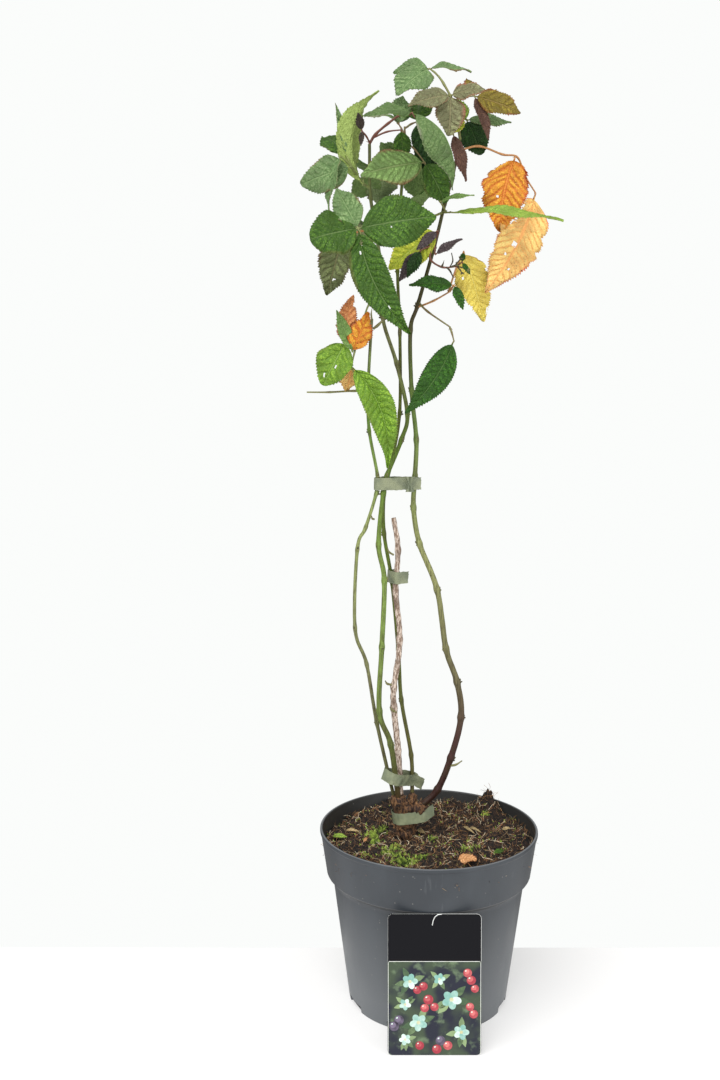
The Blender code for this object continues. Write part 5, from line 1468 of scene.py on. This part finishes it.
def print_card(spot):
    """The card's print: five-petalled blossoms with leaves, round berries and a thin border, with painted
    highlights along the card's top edge, down the sides of the header and along the hanging slit.
    """
    chance = random.Random(SEED)
    prints = {key: Batch() for key in ("petals", "berries", "ripe", "sprays", "trim")}

    def patch(key, outline, proud, tone):
        """A flat printed shape, given by the places of its outline."""
        count = len(outline)
        points = [spot(x, y, proud) for x, y in outline] + [spot(x, y, proud - 0.05) for x, y in outline]
        faces = [tuple(range(count)), tuple(reversed(range(count, 2 * count)))]
        faces += [(k, k + count, (k + 1) % count + count, (k + 1) % count) for k in range(count)]
        prints[key].add(points, faces, [(0, 0, 0, tone, 0)] * 2 * count)

    def ringed(x, y, reach, heading):
        return x + reach * math.cos(math.radians(heading)), y + reach * math.sin(math.radians(heading))

    for x, y, size in BLOSSOMS:
        for k in range(4):
            heading = chance.uniform(0, 360)
            leaf = oval(*ringed(x, y, size * 1.0, heading), size * 1.2, size * 0.6, heading, 0.7)
            patch("sprays", leaf, 0.06, chance.random())
        start = chance.uniform(0, 72)
        for k in range(5):
            heading = start + 72 * k
            petal = oval(*ringed(x, y, size * 0.42, heading), size * 0.8, size * 0.62, heading)
            patch("petals", petal, 0.10 + 0.01 * k, chance.random())
        patch("trim", oval(x, y, size * 0.34, size * 0.34, 0), 0.18, 0.3)
    for x, y in BERRIES:
        size = chance.uniform(6.6, 8.2)
        shade = chance.random()
        kind = "ripe" if shade > 0.66 else "berries"
        patch(kind, oval(x, y, size, size, 0), 0.12, 0.55 * shade)
        sheen = oval(x - 0.1 * size, y + 0.12 * size, 0.6 * size, 0.6 * size, 0)
        patch(kind, sheen, 0.15, 0.3 + 0.55 * shade)
        patch("petals", oval(x - 0.2 * size, y + 0.24 * size, 0.2 * size, 0.14 * size, 30), 0.18, 1.0)
    half = CARD_WIDTH / MM / 2
    bars = ((0, PICTURE_TOP, 2 * half - 2, 0.4), (half - 0.5, 39, 0.35, 76), (0.5 - half, 39, 0.35, 76))
    corners = ((1, -1), (1, 1), (-1, 1), (-1, -1))
    for x, y, wide, tall in bars:
        patch("trim", [(x + right * wide / 2, y + top * tall / 2) for right, top in corners], 0.06, 0.8)
    # painted highlights: pale lines along the card's top edge and down the sides of the header, wider on the
    # right, and along the edge of the hanging slit
    brink, turn = half - 0.15, CARD_CORNER / MM
    steps = [math.radians(angle) for angle in range(90, -1, -9)]
    bend = [(brink - turn * (1 - math.cos(a)), GLINT_LINE_TOP - turn * (1 - math.sin(a))) for a in steps]
    mouth = (SLIT[0][0], GLINT_LINE_TOP)
    for line, thick in ((SLIT, 0.38), ([mouth, *bend, (brink, PICTURE_TOP)], 0.13),
                        ([mouth, *[(-x, y) for x, y in bend], (-brink, PICTURE_TOP)], 0.06)):
        path = [spot(x, y, 0.1) for x, y in line]
        limb(prints["trim"], path, [thick * MM] * len(path), 6, 1.0)
    # the pale trim ink holds the printed border and blossom centres, and also the painted highlight lines of
    # the card's edges and slit
    for key, dark, light in (
            ("petals", (0.20, 0.42, 0.36), (0.66, 0.80, 0.72)),
            ("trim", (0.50, 0.48, 0.22), (0.80, 0.82, 0.80)),
            ("berries", (0.34, 0.025, 0.045), (0.80, 0.24, 0.22)),
            ("ripe", (0.015, 0.012, 0.025), (0.20, 0.16, 0.24)),
            ("sprays", (0.045, 0.090, 0.040), (0.26, 0.36, 0.17))):
        ink = toned_finish(f"card {key}", dark, light, 0.4, 300, 0.01 * MM)
        piece(f"card_{key}", prints[key].mesh(), "label", (), ink)


# Foliage
def build_foliage(canes):
    """Every mass: a twig, its leaf stalks with their stipules, and blades, gathered by tint."""
    blades, used, green, tan = {}, {}, Batch(), Batch()
    for name, spec in FOLIAGE.items():
        chance, looks = random.Random(f"{name} {SEED}"), random.Random(f"{name} looks {SEED}")
        centre = canes[spec["cane"]].nearest(Vector(spec["twig"][0]) * MM)[0]
        path = [tuple(centre / MM), *spec["twig"][1:]]
        twig = Cane(path, (spec["radius"] * 1.05, 0.7 * spec["radius"]), 1.5 * MM)
        own = tan if name in ("leaves_orange", "leaves_yellow") else green
        age = 1.0 if name in ("leaves_young", "leaves_arch") else looks.uniform(0.0, 0.6)
        limb(own, twig.centres, twig.radii, 10, age)
        number = 0
        for share, stalk, rows in spec["leaves"]:
            twigs = tan if rows[0][-1] in OLD_TINTS and stalk[2] > 30 else own
            root = twig.at(share)
            joint = root + direction(*stalk[:2]) * stalk[2] * MM
            bow = root.lerp(joint, 0.5) + Vector((0, 0, 0.06 * stalk[2] * MM))
            girths = (1.3 * STALK_RADIUS, 0.85 * STALK_RADIUS)
            line = Cane([tuple(place / MM) for place in (root, bow, joint)], girths, 1.2 * MM)
            limb(twigs, line.centres, line.radii, 8, age)
            for lean in (-1, 1):
                aside = 0.7 * lean * direction(stalk[0] + 90, 10)
                tip = root + (direction(*stalk[:2]) + aside) * STIPULE
                limb(twigs, [root, root.lerp(tip, 0.6), tip], [0.35 * MM, 0.3 * MM, 0.05 * MM], 5, age)
            for row in rows:
                tint = row[-1]
                usual = chance.uniform(*FOLD)
                fold = math.radians(FOLDS.get((name, number), usual))
                batch = blades.setdefault(tint, Batch())
                used.setdefault(tint, set()).add(name)
                blade(batch, joint, row, fold, looks, HOLES.get((name, number), ()))
                along = direction(row[0], row[1])
                spine = [joint + along * reach * MM for reach in (-0.5, 1.4, 0.07 * row[2])]
                limb(twigs, spine, [STALK_RADIUS * MM, STALK_RADIUS * MM, 0.5 * STALK_RADIUS * MM], 8, age)
                number += 1
    for tint, batch in blades.items():
        owners = sorted(used[tint])
        finish = leaf_finish(f"leaf {tint}", *TINTS[tint])
        piece(f"blades_{tint}", batch.mesh(), owners[0], owners, finish, 70)
    stalks = toned_finish("leaf stalks", (0.210, 0.260, 0.075), (0.160, 0.055, 0.035), 0.5, 500, 0.1 * MM)
    piece("twigs", green.mesh(), "bare_stalk", ["bare_stalk"], stalks)
    dry = toned_finish("dry stalks", (0.420, 0.180, 0.060), (0.760, 0.480, 0.220), 0.6, 500, 0.1 * MM)
    piece("dry_twigs", tan.mesh(), "leaves_orange", (), dry)


build_pot()
build_soil()
all_canes = build_canes()
build_ties(all_canes)
build_card()
build_foliage(all_canes)

# Floor, light and camera
bpy.ops.mesh.primitive_plane_add(size=FLOOR_SIZE, location=(0, TABLE_EDGE - FLOOR_SIZE / 2, 0))
floor = bpy.context.object
floor.name = "floor"
glow = dict(Emission_Color=(1, 1, 1, 1), Emission_Strength=FLOOR_GLOW)
floor.data.materials.append(Finish("floor").done(FLOOR_TONE, 0.8, Specular_IOR_Level=0.0, **glow))

scene = bpy.context.scene
scene.view_settings.view_transform = "Standard"
scene.world = bpy.data.worlds.new("studio")
scene.world.use_nodes = True
air = Tree(scene.world.node_tree)
haze, wall = (air.node("ShaderNodeBackground", {"Color": tone, "Strength": 1.0}).outputs[0]
              for tone in (HAZE, WALL_TONE))
is_seen = air.node("ShaderNodeLightPath").outputs["Is Camera Ray"]
air.feed(air.tree.nodes["World Output"].inputs["Surface"],
         air.node("ShaderNodeMixShader", {0: is_seen, 1: haze, 2: wall}).outputs[0])
for name, source, spread, power in SUNS:
    light = bpy.data.lights.new(name, "SUN")
    light.angle = math.radians(spread)
    light.energy = power
    lamp = linked(name, light)
    lamp.rotation_euler = Vector(source).to_track_quat("Z", "Y").to_euler()

lens = bpy.data.cameras.new("camera")
lens.lens = LENS
lens.sensor_width = SENSOR
scene.camera = linked("camera", lens)
scene.camera.location = CAMERA_PLACE
scene.camera.rotation_euler = (math.pi / 2 - CAMERA_DIP, 0, 0)
